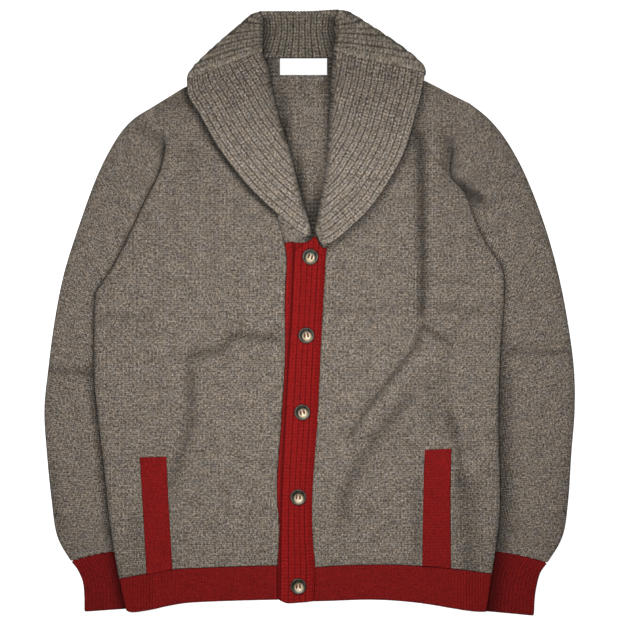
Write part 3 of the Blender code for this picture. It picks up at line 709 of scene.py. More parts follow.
@dataclass(frozen=True)
class MarledYarn:
    """The yarn's shader group: light and dark fibres in flecks, and a slow drift of tone and hue.

    The noises are given by their detail and roughness, after their scale where that is fixed.
    """

    fine: Point = (3.0, 0.65)
    fine_share: float = 0.55
    fibre: Point = (3.0, 0.7)
    fibre_stretch: Triple = (1.0, 0.4, 1.0)
    fibre_scale: float = 2.2
    slow: Triple = (62, 3.0, 0.6)
    patch: Point = (240, 1.0)
    patch_share: float = 1.15
    hue: Point = (85, 2.0)
    hue_place: Triple = (0.7, 0.3, 0.0)
    hue_band: Point = (0.35, 0.65)
    warm: Triple = (1.03, 1.0, 0.93)
    cool: Triple = (0.98, 1.005, 1.02)

    def build(self) -> None:
        """Builds the group."""
        graph, given, result = new_group(
            "marled yarn", {"Place": "Vector", "Dark": "Color", "Light": "Color", "Grain": "Float",
                            "Contrast": "Float", "Drift": "Float"}, {"Color": "Color"})
        place, grain = given["Place"], given["Grain"]
        fine = graph.math("MULTIPLY", graph.noise(place, grain, *self.fine), self.fine_share)
        stretched = graph.vector("MULTIPLY", place, self.fibre_stretch)
        fibre = graph.noise(stretched, graph.math("MULTIPLY", grain, self.fibre_scale), *self.fibre)
        mixed = graph.math("ADD", fine, graph.math("MULTIPLY", fibre, 1.0 - self.fine_share))
        share = graph.drift(mixed, 0.5, given["Contrast"], 0.5, hold=True)
        slow = graph.noise(place, *self.slow)
        wider = graph.drift(graph.noise(place, *self.patch), 0.5, self.patch_share, slow)
        flecked = graph.scaled(graph.mix(share, given["Dark"], given["Light"]),
                               graph.drift(wider, 0.5, given["Drift"], 1.0))
        hue = graph.noise(graph.vector("ADD", place, self.hue_place), *self.hue)
        tint = graph.mix(graph.band(hue, *self.hue_band), self.warm, self.cool)
        graph.put(result, {"Color": graph.vector("MULTIPLY", flecked, tint)})


@dataclass(frozen=True)
class FineKnit:
    """The fine knit's shader group: each stitch is two legs that lean together, with a gap round them."""

    wander: float = 1.2
    wander_scale: float = 70
    lean: float = 0.9
    leg_round: float = 0.6
    loop_share: float = 0.6
    gap: Point = (0.05, 0.75)

    def build(self) -> None:
        """Builds the group."""
        graph, given, result = new_group("fine knit", {"Place": "Vector", "Wale": "Float", "Course": "Float"},
                                         {"Height": "Float", "Gap": "Float"})
        noise = graph.add("TexNoise", {"Vector": given["Place"], "Scale": self.wander_scale, "Detail": 1.0})
        wander = graph.vector("SUBTRACT", noise.outputs["Color"], (0.5, 0.5, 0.5))
        place = graph.vector("ADD", given["Place"], graph.scaled(wander, self.wander * MM))
        parts = graph.add("SeparateXYZ", {0: place}).outputs
        across = graph.math("FRACT", graph.math("DIVIDE", parts[0], given["Wale"]))
        lean = graph.math("ABSOLUTE", graph.math("SUBTRACT", across, 0.5))
        leg = graph.math("SINE", graph.math("MULTIPLY", lean, 2 * math.pi))
        beat = graph.math("MULTIPLY_ADD", lean, self.lean, graph.math("DIVIDE", parts[1], given["Course"]))
        loop = graph.math("SINE", graph.math("MULTIPLY", graph.math("FRACT", beat), math.pi))
        loop = graph.math("MULTIPLY_ADD", loop, self.loop_share, 1.0 - self.loop_share)
        height = graph.math("MULTIPLY", graph.math("POWER", leg, self.leg_round), loop)
        gap = graph.math("SUBTRACT", 1.0, graph.band(height, *self.gap))
        graph.put(result, {"Height": height, "Gap": gap})


def new_material(name: str) -> tuple[bpy.types.Material, Graph, bpy.types.Node]:
    """Starts a material.

    Args:
        name: the material's name.

    Returns:
        The material, its graph and its main shader.
    """
    made = bpy.data.materials.new(name)
    made.use_nodes = True
    return made, Graph(made.node_tree), made.node_tree.nodes["Principled BSDF"]


class Stitch(Enum):
    """Which way a finish's fine knit runs."""

    UPRIGHT = "upright"
    CROSSWISE = "crosswise"


@dataclass(frozen=True)
class WoolFinish:
    """A wool cloth's colours and knit, with painted shade from the relief level. Lengths are in millimetres.
    """

    name: str
    dark: Triple
    light: Triple
    wale: float = 3.4
    course: float = 2.7
    stitch: Stitch = Stitch.UPRIGHT
    grain: float = 420
    contrast: float = 6.0
    drift: float = 0.95
    gap: float = 0.9
    # How strongly a low relief level darkens the colour as painted shade, and the level at which it paints
    # none
    groove: float = 0.0
    groove_to: float = 0.85
    bump: float = 0.6
    depth: float = 0.7
    sheen: float = 0.08
    sheen_rough: float = 0.45
    gloss: float = 0.1
    rough: Point = (0.86, 0.1)
    fuzz: Triple = (1400, 2.0, 0.6)
    fuzz_share: float = 0.35

    @cache
    def material(self) -> bpy.types.Material:
        """Makes the material, once.

        Returns:
            The material.
        """
        made, graph, shader = new_material(self.name)
        place = graph.add("UVMap", uv_map="knit").outputs[0]
        if self.stitch is Stitch.CROSSWISE:
            place = graph.add("Mapping", {0: place, 2: (0.0, 0.0, math.pi / 2)}).outputs[0]
        groups = bpy.data.node_groups
        marl, fine = (graph.add("Group", node_tree=groups[name]) for name in ("marled yarn", "fine knit"))
        graph.put(marl, {"Place": place, "Dark": (*self.dark, 1.0), "Light": (*self.light, 1.0),
                         "Grain": self.grain, "Contrast": self.contrast, "Drift": self.drift})
        graph.put(fine, {"Place": place, "Wale": self.wale * MM, "Course": self.course * MM})
        # The stitch gaps darken the colour, and a low relief level darkens it further: painted shade in rib
        # grooves, creases, recesses and beside edges.
        grooves_and_painted_shade = graph.math("MULTIPLY", fine.outputs["Gap"], self.gap)
        if self.groove > 0.0:
            relief = graph.add("Attribute", attribute_name="relief").outputs["Fac"]
            deep = graph.math("SUBTRACT", 1.0, graph.band(relief, 0.0, self.groove_to))
            grooves_and_painted_shade = graph.math("MULTIPLY_ADD", deep, self.groove, grooves_and_painted_shade, hold=True)
        height = graph.math("MULTIPLY_ADD", graph.noise(place, *self.fuzz), self.fuzz_share,
                            fine.outputs["Height"])
        graph.put(shader, {
            "Base Color": graph.scaled(marl.outputs[0], graph.math("SUBTRACT", 1.0, grooves_and_painted_shade, hold=True)),
            "Roughness": graph.math("MULTIPLY_ADD", fine.outputs["Gap"], self.rough[1], self.rough[0]),
            "Normal": graph.bump(self.bump, self.depth, height), "Sheen Weight": self.sheen,
            "Sheen Roughness": self.sheen_rough, "Specular IOR Level": self.gloss})
        return made


GREY_KNIT = WoolFinish("grey_plain_knit", (0.060, 0.050, 0.040), (0.384, 0.327, 0.277), groove=0.7)
GREY_PURL = replace(GREY_KNIT, name="grey_purl_side", course=5.3, gap=0.5, groove=0.75)
GREY_RIB = WoolFinish("grey_collar_rib", (0.108, 0.090, 0.072), (0.390, 0.334, 0.286), COLLAR_WALE,
                      COLLAR_RIB.pitch, grain=400, gap=0.0, groove=0.78, contrast=8.4, bump=0.3)
# A darker copy of the collar rib for the collar's back: painted shade on the stand and the wings.
GREY_RIB_SHADED = replace(GREY_RIB, name="grey_rib_painted_shade", dark=(0.086, 0.073, 0.059),
                        light=(0.304, 0.261, 0.217), grain=430, groove=0.85, contrast=7.0)
RED_RIB = WoolFinish("red_band_rib", (0.140, 0.0038, 0.0038), (0.334, 0.0115, 0.0115), 3.2, BAND_RIB.pitch,
                     gap=0.0, groove=0.58, contrast=2.5, drift=0.25, bump=0.3, sheen=0.0)
RED_KNIT = WoolFinish("red_plain_knit", (0.130, 0.0040, 0.0040), (0.265, 0.012, 0.012), 3.6, 2.9,
                      contrast=4.0, drift=0.4, gap=0.35, groove=0.7, sheen=0.0)
RED_CROSSWISE = replace(RED_KNIT, name="red_crosswise_knit", dark=(0.140, 0.0042, 0.0042),
                        light=(0.292, 0.0125, 0.0125), wale=3.75, groove=0.75, stitch=Stitch.CROSSWISE)


# Pieces


@dataclass(frozen=True)
class Cut:
    """A cloth piece's name and slot, its cut's width and length in metres and area, and what it lies on."""

    piece: str
    slot: str
    flat: Point
    area: float
    rests_on: tuple[str, ...] = ()


CUTS = {
    "back": Cut("back_panel", "grey_wool", (0.512, 0.657), 0.286),
    "front_right": Cut("front_right_panel", "grey_wool", (0.240, 0.652), 0.121, ("back_panel",)),
    "front_left": Cut("front_left_panel", "grey_wool", (0.240, 0.652), 0.125, ("back_panel",)),
    "hem_back": Cut("hem_back_rib", "red_wool", (0.466, 0.045), 0.0208),
    "hem_front_right": Cut("hem_front_right_rib", "red_wool", (0.198, 0.045), 0.0088),
    "hem_front_left": Cut("hem_front_left_rib", "red_wool", (0.223, 0.045), 0.0100),
    "band_upper": Cut("button_band_upper", "band_rib", (0.042, 0.452), 0.0178),
    "band_under": Cut("button_band_under", "band_rib", (0.040, 0.452), 0.0168),
    "welt_right": Cut("pocket_welt_right", "red_wool", (0.035, 0.148), 0.0051, ("front_right_panel",)),
    "welt_left": Cut("pocket_welt_left", "red_wool", (0.035, 0.148), 0.0051, ("front_left_panel",)),
    "sleeve_right": Cut("sleeve_right_tube", "grey_wool", (0.300, 0.570), 0.152),
    "sleeve_left": Cut("sleeve_left_tube", "grey_wool", (0.310, 0.575), 0.160),
    "cuff_right": Cut("cuff_right_rib", "red_wool", (0.180, 0.068), 0.0122),
    "cuff_left": Cut("cuff_left_rib", "red_wool", (0.182, 0.070), 0.0126),
    "lapel_right": Cut("lapel_right_rib", "collar_rib", (0.155, 0.255), 0.026, ("front_right_panel",)),
    "lapel_left": Cut("lapel_left_rib", "collar_rib", (0.150, 0.260), 0.026, ("front_left_panel",)),
    "collar_back": Cut("collar_back_rib", "collar_rib", (0.300, 0.250), 0.058, ("back_panel",)),
    "label": Cut("neck_label", "label_cloth", (0.059, 0.021), 0.00123, ("back_panel",)),
}


def place_cloth(node: str, patches: Sequence[Array], finish: bpy.types.Material) -> None:
    """Args:
        node: the frame's node that it stands for, which has its cut in CUTS.
        patches: its patches.
        finish: its material.
    """
    cut = CUTS[node]
    piece = weave(cut.piece, patches, finish)
    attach(piece, BODY)
    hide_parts(node)
    log.info("%s stands for %s", piece.name, node)


@dataclass
class Body:
    """Back, fronts and the hem ribs below them."""

    length: float = 640
    front_grid: Point = (2.1, 3.4)
    back_grid: Point = (7, 7)
    half_shares: tuple[float, ...] = (0.22, 0.42, 0.62, 0.82, 1.0)
    side_radius: float = 5
    foot_radius: float = 1.4
    band_radius: float = 1.6
    seam_radius: float = 1.0
    fold_margins: tuple[float, float, float] = (14, 10, 12)
    # Painted shadow and shade: beside the lapel's edge, along the side edge, in the neck's creases and over
    # the back's inside
    rim_reach: Point = (6.5, 8.5)
    rim_shadow: Point = (1.0, 0.62)
    rim_shade: Point = (0.12, 0.04)
    shade_reach: float = 26
    shade_ramp: Point = (170, 60)
    armhole_from: Point = (196, 184)
    armhole_over: float = 26
    side_shade: float = 0.32
    side_reach: float = 6.5
    side_ramp: Point = (214, 14)
    neck_reach: Point = (9, 6)
    neck_shade: Point = (0.9, 0.85)
    inside_shade_level: float = 0.78
    inside_shade: float = 0.08
    inside_ramp: Point = (250, 25)
    hem_length: float = 44
    hem_wale: float = 3.6
    hem_points: int = 4
    hem_relief: float = 0.32
    hem_rows: int = 12

    def half(self, side: Side) -> list[Line]:
        """Gives one half of the body.

        Args:
            side: which half.

        Returns:
            Its coarse columns, from the side to the front's edge.
        """
        lifted = LIFT_EDGES[side]

        def raised(y: Array) -> Array:
            """Gives the line where the body starts to rise towards the sleeve."""
            return lifted(y) - side.way * SLEEVE_RAMP

        return [SIDES[side], between(SIDES[side], lifted, 0.5), lifted, raised,
                *(between(raised, EDGES[side], share) for share in self.half_shares)]

    def laid(self, columns: Sequence[Line], grid: Point) -> tuple[Array, Array]:
        """Lays out a main panel with so much between its columns and between its rows, and gives x and y."""
        rows = edged(round(self.length / grid[1]), self.length)
        return plan(spread(columns, grid[0], CLOTH), HEM_SEAM, TOP, rows)

    def back(self, columns: Sequence[Line]) -> Array:
        """Lays out the back panel.

        Args:
            columns: its coarse columns.

        Returns:
            Its patch.
        """
        x, y = self.laid(columns, self.back_grid)
        wall = CLOTH * framed(x, y, (self.side_radius, self.side_radius, self.foot_radius, CLOTH))
        # Painted shade: the back's inside is darkened overall, more towards the collar, and beside the
        # lapels' creases.
        grooves_and_painted_shade = self.inside_shade_level - self.inside_shade * ramp(y, *self.inside_ramp)
        for crease, reach, depth in zip(CREASES, self.neck_reach, self.neck_shade):
            grooves_and_painted_shade = grooves_and_painted_shade * painted_shade_beside(crease, x, y, reach, depth)
        return patch(x, y, lift(x, y), wall, x, y, PLAIN_RELIEF * grooves_and_painted_shade)

    def front(self, columns: Sequence[Line], side: Side) -> Array:
        """Lays out a front.

        Args:
            columns: its coarse columns.
            side: which front.

        Returns:
            Its patch.
        """
        x, y = self.laid(columns, self.front_grid)
        first, last, low, high = edge_distance(x, y)
        out, band = (first, last) if side is Side.RIGHT else (last, first)
        rise, grooves_and_painted_shade = folded(FRONT_CREASES, x, y, FRONT_LEAST)
        z = lift(x, y) + FRONT_BASE
        for edge, margin in zip((out, band, low), self.fold_margins):
            rise = rise * ramp(edge, 0.0, margin)
        sewn = ramp(y, self.armhole_from[side], self.armhole_over)
        wall = CLOTH * rounded(low, self.foot_radius) * rounded(high, CLOTH) * rounded(band, CLOTH)
        wall = wall * blend(rounded(out, self.side_radius), 1.0, sewn)
        # Painted shadow along the lapel's outer edge, wider painted shade beside it higher up, and painted
        # shade along the front's side edge over the sleeve.
        rim = measured(LAPEL_OUT[side], x, y)[0]
        near = 1.0 - self.rim_shadow[side] * bell(rim, self.rim_reach[side])
        wide = 1.0 - ramp(y, *self.shade_ramp) * self.rim_shade[side] * bell(rim, self.shade_reach)
        free = 1.0 - self.side_shade * (1.0 - ramp(y, *self.side_ramp)) * bell(out, self.side_reach)
        x = x + side.way * SEAM * (band < MERGE)
        return patch(x, y, z + rise, wall, x, y, PLAIN_RELIEF * grooves_and_painted_shade * near * wide * free)

    def hem(self, columns: Sequence[Line], base: float, sides: tuple[bool, bool]) -> Array:
        """Lays out a hem rib.

        Args:
            columns: coarse columns of the panel above.
            base: height of its underside over the back's.
            sides: whether its first and last edges lie free.

        Returns:
            Its patch.
        """
        spacing = self.hem_wale / self.hem_points * (1 if base else 2)
        x, y = plan(spread(columns, spacing, self.seam_radius), HEM_EDGE, lambda at: HEM_SEAM(at) - SEAM,
                    edged(self.hem_rows, self.hem_length))
        dip, grooves_and_painted_shade = waled(x, self.hem_wale)
        side_radii = [self.side_radius if free else self.band_radius for free in sides]
        wall = (HEM - self.hem_relief * dip) * framed(x, y, (*side_radii, HEM, self.seam_radius))
        return patch(x, y, lift(x, y) + base, wall, x, y, grooves_and_painted_shade)

    def build(self) -> None:
        """Makes the back, the fronts and their hems."""
        right, left = self.half(Side.RIGHT), self.half(Side.LEFT)[::-1]
        place_cloth("back", [self.back([*right, *left])], GREY_PURL.material())
        place_cloth("front_right", [self.front(right, Side.RIGHT)], GREY_KNIT.material())
        place_cloth("front_left", [self.front(left, Side.LEFT)], GREY_KNIT.material())
        for node, columns, base, sides in (("hem_back", [*right, *left], 0.0, (True, True)),
                                           ("hem_front_right", right, FRONT_BASE, (True, False)),
                                           ("hem_front_left", left, FRONT_BASE, (False, True))):
            place_cloth(node, [self.hem(columns, base, sides)], RED_KNIT.material())


@dataclass
class Bands:
    """The two ribbed button bands: the wearer's left one lies on the right one."""

    free: Points = ((-19, 89), (-19, 80), (-22, 5), (-26, -56), (-32, -166), (-35, -234), (-36, -292),
                    (-37, -362))
    upper_top: Points = ((-21.5, 64), (-19, 74), (-15.5, 80.5), (-8, 86.5), (0.6, 91), (5, 94.5), (8.5, 94.5),
                         (12, 87), (15, 82.5), (23, 81.5))
    under_top: Points = ((-33, 87), (-24, 89), (-12, 88), (23, 88))
    bottom: Points = ((-41, -358), (-36, -360), (-27, -363), (-10, -362), (6, -361))
    ribs: tuple[float, ...] = (0.0, 0.12, 0.24, 0.33, 0.42, 0.5, 0.58, 0.66, 0.74, 0.84, 0.94, 1.0)
    slope_from: float = 0.94
    slope_over: float = -0.20
    under_share: float = 0.71
    length: float = 452
    points: int = 5
    upper_steps: int = 4
    under_steps: int = 3
    wale: float = 3.2
    radii: tuple[float, ...] = (2.2, 1.6, 2.2, 2.2)
    shadow_reach: float = 3.2
    shadow: float = 0.85

    def lay(self, first: Line, last: Line, top: Points, steps: int, rows: int) -> tuple[Array, Array]:
        """Lays out a band.

        Args:
            first: its edge on the wearer's right.
            last: its edge on the wearer's left.
            top: its top edge.
            steps: how many columns a half rib has.
            rows: how many rows it has.

        Returns:
            Its patch, on the fronts' level, and its columns' shares across.
        """
        count = len(self.ribs) - 1
        half_ribs = np.linspace(0.0, count, count * steps + 1)
        shares = np.interp(half_ribs, np.arange(count + 1), self.ribs)
        x, y = plan([between(first, last, share) for share in shares], y_of(self.bottom), y_of(top),
                    edged(rows, self.length))
        relief = BAND_RIB.level(half_ribs, y)
        wall = BAND_RIB.wall(relief) * framed(x, y, self.radii)
        return patch(x, y, FRONT_BASE, wall, half_ribs * self.wale, y, relief), shares

    def build(self) -> None:
        """Makes both bands: the upper one slopes from the top of the under one down to its own seam."""
        right, left = EDGES
        free = x_of(self.free)
        rows = round(self.length / BAND_RIB.pitch * self.points)
        upper, shares = self.lay(free, left, self.upper_top, self.upper_steps, rows)
        upper[2] += (BAND_BASE - FRONT_BASE) * eased(ramp(shares, self.slope_from, self.slope_over))
        place_cloth("band_upper", [upper], RED_RIB.material())
        under, _ = self.lay(right, between(free, left, self.under_share), self.under_top, self.under_steps,
                            rows // self.under_steps)
        # Painted shadow of the upper band's free edge on the under band.
        under[6] *= painted_shade_beside(self.free, under[0], under[1], self.shadow_reach, self.shadow)
        place_cloth("band_under", [under], RED_RIB.material())


@dataclass
class Welts:
    """The pocket welts, knitted crosswise and sewn down on the fronts.

    Each has its edge on the wearer's right and its edge on the left, its bottom and its top.
    """

    lines: tuple[tuple[Points, ...], ...] = (
        (((-212, -180), (-209, -225), (-203, -330)), ((-178, -179), (-176, -234), (-171, -325)),
         ((-203, -327), (-171, -321)), ((-212, -180), (-178, -179))),
        (((144, -171), (142, -234), (141, -320)), ((177, -169), (176, -234), (177, -322)),
         ((141, -316.6), (177, -319.4)), ((144, -171), (177, -169))))
    size: Point = (35, 148)
    grid: tuple[int, int] = (10, 4)
    radii: tuple[float, ...] = (2.0, 2.0, 1.6, 2.0)
    gap: float = 0.5
    pitch: float = 3.75
    relief: float = 0.18
    settle: float = 12

    def build(self) -> None:
        """Makes both welts."""
        for side in Side:
            first, last, bottom, top = self.lines[side]
            columns = [between(x_of(first), x_of(last), share) for share in edged(self.grid[0], self.size[0])]
            rows = edged(round(self.size[1] / self.pitch * self.grid[1]), self.size[1])
            x, y = plan(columns, y_of(bottom, smooth=False), y_of(top, smooth=False), rows)
            z = lift(x, y) + drape(x, y) * ramp(y - HEM_SEAM(x), 0.0, self.settle) + FRONT_TOP + self.gap
            dip, grooves_and_painted_shade = waled(y, self.pitch)
            wall = (CLOTH - self.relief * dip) * framed(x, y, self.radii)
            laid = patch(x, y, z, wall, x, y, grooves_and_painted_shade)
            place_cloth("welt_" + side.name.lower(), [laid], RED_CROSSWISE.material())


@dataclass(frozen=True)
class TubeCut:
    """A tube that lies flat: its outer and hidden inner edges from the shoulder on, sizes, and the painted
    shade beside the body's edge over it.
    """

    node: str
    outer: Points
    inner: Points
    shade_width: float = 6.5
    core: float = 1.0
    upper: float = 0.35
    wall: float = CLOTH
    gap: float = 0.6
    grid: tuple[int, int] = (50, 165)
    ribbed: bool = False
    end_least: float = 0.9
    end_radius: float = 1.8


@dataclass
class Sleeves:
    """Sleeves and cuffs, tubes that lie flat under the body's sides."""

    bow: float = 3.5
    bow_over: float = 0.1
    armhole_share: float = 0.2
    armhole_gap: float = 0.1
    swell: float = 6.0
    swell_reach: float = 6.5
    swell_from: float = 50
    fold_margin: float = 10
    shade_depth: float = 0.76
    shade_core: float = 5
    shade_low_ramp: Point = (10, -110)
    shade_spread: Point = (0.75, 1.45)
    covered_ramp: Point = (228, -26)
    sewn_below: float = 6
    sewn_over: float = 12
    sewn_reach: float = 30
    start_radius: float = 1.8
    cuff_bow_over: float = 0.4
    cuff_seam: float = 0.3
    cuff_wale: float = 4.6
    cuff_relief: float = 0.22
    cuff_tone: float = 0.8
    edge_turns: Triple = (45, 0, -45)
    shoulders: tuple[Point, Point] = ((-181.5, 204), (177, 188))
    cuts: tuple[TubeCut, ...] = (
        TubeCut("sleeve_right",
                ((-199, 257), (-223, 241), (-243, 216), (-266, 171), (-288, 111), (-307, 51), (-319, -9),
                 (-327, -69), (-332, -121), (-329, -174), (-323, -234), (-316, -279), (-299, -310)),
                ((-153, 172), (-153, 104), (-154, -59), (-172, -202), (-199, -294))),
        TubeCut("sleeve_left",
                ((202, 262), (226, 242), (248, 214), (271, 171), (294, 111), (311, 51), (323, -9), (331, -69),
                 (332, -121), (328, -174), (324, -234), (317, -279), (298, -312)),
                ((141, 172), (141, -15), (176, -128), (188, -190), (198, -295)),
                shade_width=12.5, core=0.6, upper=0.62),
        TubeCut("cuff_right", ((-299, -310), (-291, -320), (-284, -336), (-282, -355), (-282, -374)),
                ((-199, -294), (-199, -328), (-197, -368)),
                wall=HEM, gap=0.5, grid=(96, 14), ribbed=True, end_least=EDGE_LEAST, end_radius=CLOTH),
        TubeCut("cuff_left", ((298, -312), (289, -325), (284, -344), (282, -359), (281, -379)),
                ((198, -295), (197, -334), (196, -371)), shade_width=12.0, core=0.6,
                wall=HEM, gap=0.5, grid=(96, 14), ribbed=True, end_least=EDGE_LEAST, end_radius=CLOTH))

    def bend(self, cut: TubeCut, side: Side, fraction: float, shares: Array) -> Array:
        """Gives how a section bends onto the armhole's edge, and how it bows at the cuff's seam.

        Args:
            cut: the tube.
            side: the wearer's side.
            fraction: where the section is along the tube.
            shares: its points' shares across.

        Returns:
            Shifts in x and y.
        """
        bow = self.bow * np.sin(math.pi * shares)
        if cut.ribbed:
            bow = bow * ramp(fraction, self.cuff_bow_over, -self.cuff_bow_over)
            return np.stack((np.zeros_like(bow), bow - self.cuff_seam * (fraction == 0.0)), axis=-1)
        tip, inner, corner = cut.outer[0], cut.inner[0], self.shoulders[side]
        straight, y = (blend(tip[axis], inner[axis], shares) for axis in (0, 1))
        hidden = blend(corner[0], inner[0], ramp(y, corner[1], inner[1] - corner[1]))
        x = np.where(y > corner[1], SIDES[side](y) + side.way * self.armhole_gap, hidden)
        weight = ramp(fraction, self.armhole_share, -self.armhole_share) ** 2
        bow = bow * ramp(fraction, 1.0 - self.bow_over, self.bow_over)
        return np.stack((weight * (x - straight), bow), axis=-1)

    def tube(self, cut: TubeCut) -> Array:
        """Lays out a flat tube.

        Args:
            cut: its edges and sizes.

        Returns:
            Its patch, closed round the tube.
        """
        side = Side(int(cut.outer[0][0] > 0))
        edges = [smooth_line(points) for points in (cut.outer, cut.inner)]
        length = float(lengths(edges[0])[-1])
        across, rows = cut.grid
        fractions = edged(rows, length)
        shares = np.linspace(0.0, 1.0, across)
        turns = np.radians(self.edge_turns)
        half = cut.gap / 2
        middle = cut.wall + half
        z = np.concatenate((np.full(across, middle + half), middle + half * np.sin(turns),
                            np.full(across, cut.wall), middle - half * np.sin(turns), (middle + half,)))
        top = np.zeros_like(z)
        top[:across] = np.sin(math.pi * shares) ** 0.5
        sections = []
        for fraction, out, end in zip(fractions, *(along(edge, fractions) for edge in edges)):
            chord = end - out
            way = chord / np.hypot(*chord)
            flat = out + way * middle + shares[:, None] * (chord - 2 * way * middle)
            flat = flat + self.bend(cut, side, fraction, shares)
            turn = way * half * np.cos(turns)[:, None]
            sections.append(np.vstack((flat, flat[-1] + turn, flat[::-1], flat[0] - turn, flat[0])))
        x, y = np.moveaxis(np.array(sections), 2, 0)
        girth, run = run_along(x, y, 1), (fractions * length)[:, None]
        # Painted shade on the tube beside the body's edge that lies over it, wider and stronger lower down,
        # fading out near the shoulder.
        beyond = np.maximum(np.abs(x) - np.abs(SIDES[side](y)), 0.0)
        lower = ramp(y, *self.shade_low_ramp)
        wide = blend(cut.upper, 1.0, lower) * bell(beyond, cut.shade_width * blend(*self.shade_spread, lower))
        near = np.maximum(wide, cut.core * bell(beyond, self.shade_core))
        shade = 1.0 - self.shade_depth * ramp(y, *self.covered_ramp) * near
        wall = cut.wall
        if cut.ribbed:
            dip, grooves_and_painted_shade = waled(girth, self.cuff_wale)
            wall = wall - self.cuff_relief * dip * (top > 0.0)
            relief = self.cuff_tone * grooves_and_painted_shade * shade
        else:
            rise, grooves_and_painted_shade = folded(SLEEVE_CREASES, x, y, SLEEVE_LEAST)
            relief = PLAIN_RELIEF * grooves_and_painted_shade * shade
            swell = self.swell * (1.0 - bell(beyond, self.swell_reach))
            rise = rise + swell * within(run, length, self.swell_from)
            z = z + rise * top * within(run, length, self.fold_margin)
            sewn = ramp(y, self.shoulders[side][1] - self.sewn_below, self.sewn_over)
            z = z + lift(x, y) * sewn * ramp(run, self.sewn_reach, -self.sewn_reach)
        wall = wall * rounded(run, self.start_radius, cut.end_least) * rounded(length - run, cut.end_radius)
        laid = patch(x, y, z, wall, girth, -run, relief)
        return laid[:, ::-1] if side is Side.RIGHT else laid

    def build(self) -> None:
        """Makes both sleeves and both cuffs."""
        for cut in self.cuts:
            place_cloth(cut.node, [self.tube(cut)], (RED_KNIT if cut.ribbed else GREY_KNIT).material())


# Shawl collar

ROLL_GAP = 2.4
ROLL_TURNS = np.radians(np.linspace(67.5, -90.0, 8))
QUARTER_ROWS = 4
TUCK = RIB_PLAIN + ROLL_GAP / 2
ROLL_REACH = 45
FALL_CLEAR = 1.0
FALL_SPREAD = 0.3
STAND_RISE = 1.2
STAND_RAMP = (285, 30)


def over_front(x: Array, y: Array) -> Array:
    """Gives the height at which the collar's fall passes over the fronts."""
    return FRONT_TOP + FALL_CLEAR + np.maximum(neck_lift(x, y, FALL_SPREAD), lift(x, y)) + drape(x, y)


def stand_height(x: Array, y: Array) -> Array:
    """Gives the height of the lapel's hidden stand, which lies on the back panel."""
    return neck_lift(x, y, FALL_SPREAD) + CLOTH + LAYER + STAND_RISE * ramp(y, *STAND_RAMP) + RIB_PLAIN


def path_after(path: Array, measure: Array) -> Array:
    """Cuts a path where a measure along it first turns positive.

    Args:
        path: its points.
        measure: the measure at each of them.

    Returns:
        The rest of the path.
    """
    first = int(np.argmax(measure > 0.0))
    if first == 0:
        return path
    share = measure[first] / (measure[first] - measure[first - 1])
    return np.vstack((blend(path[first], path[first - 1], share), path[first:]))


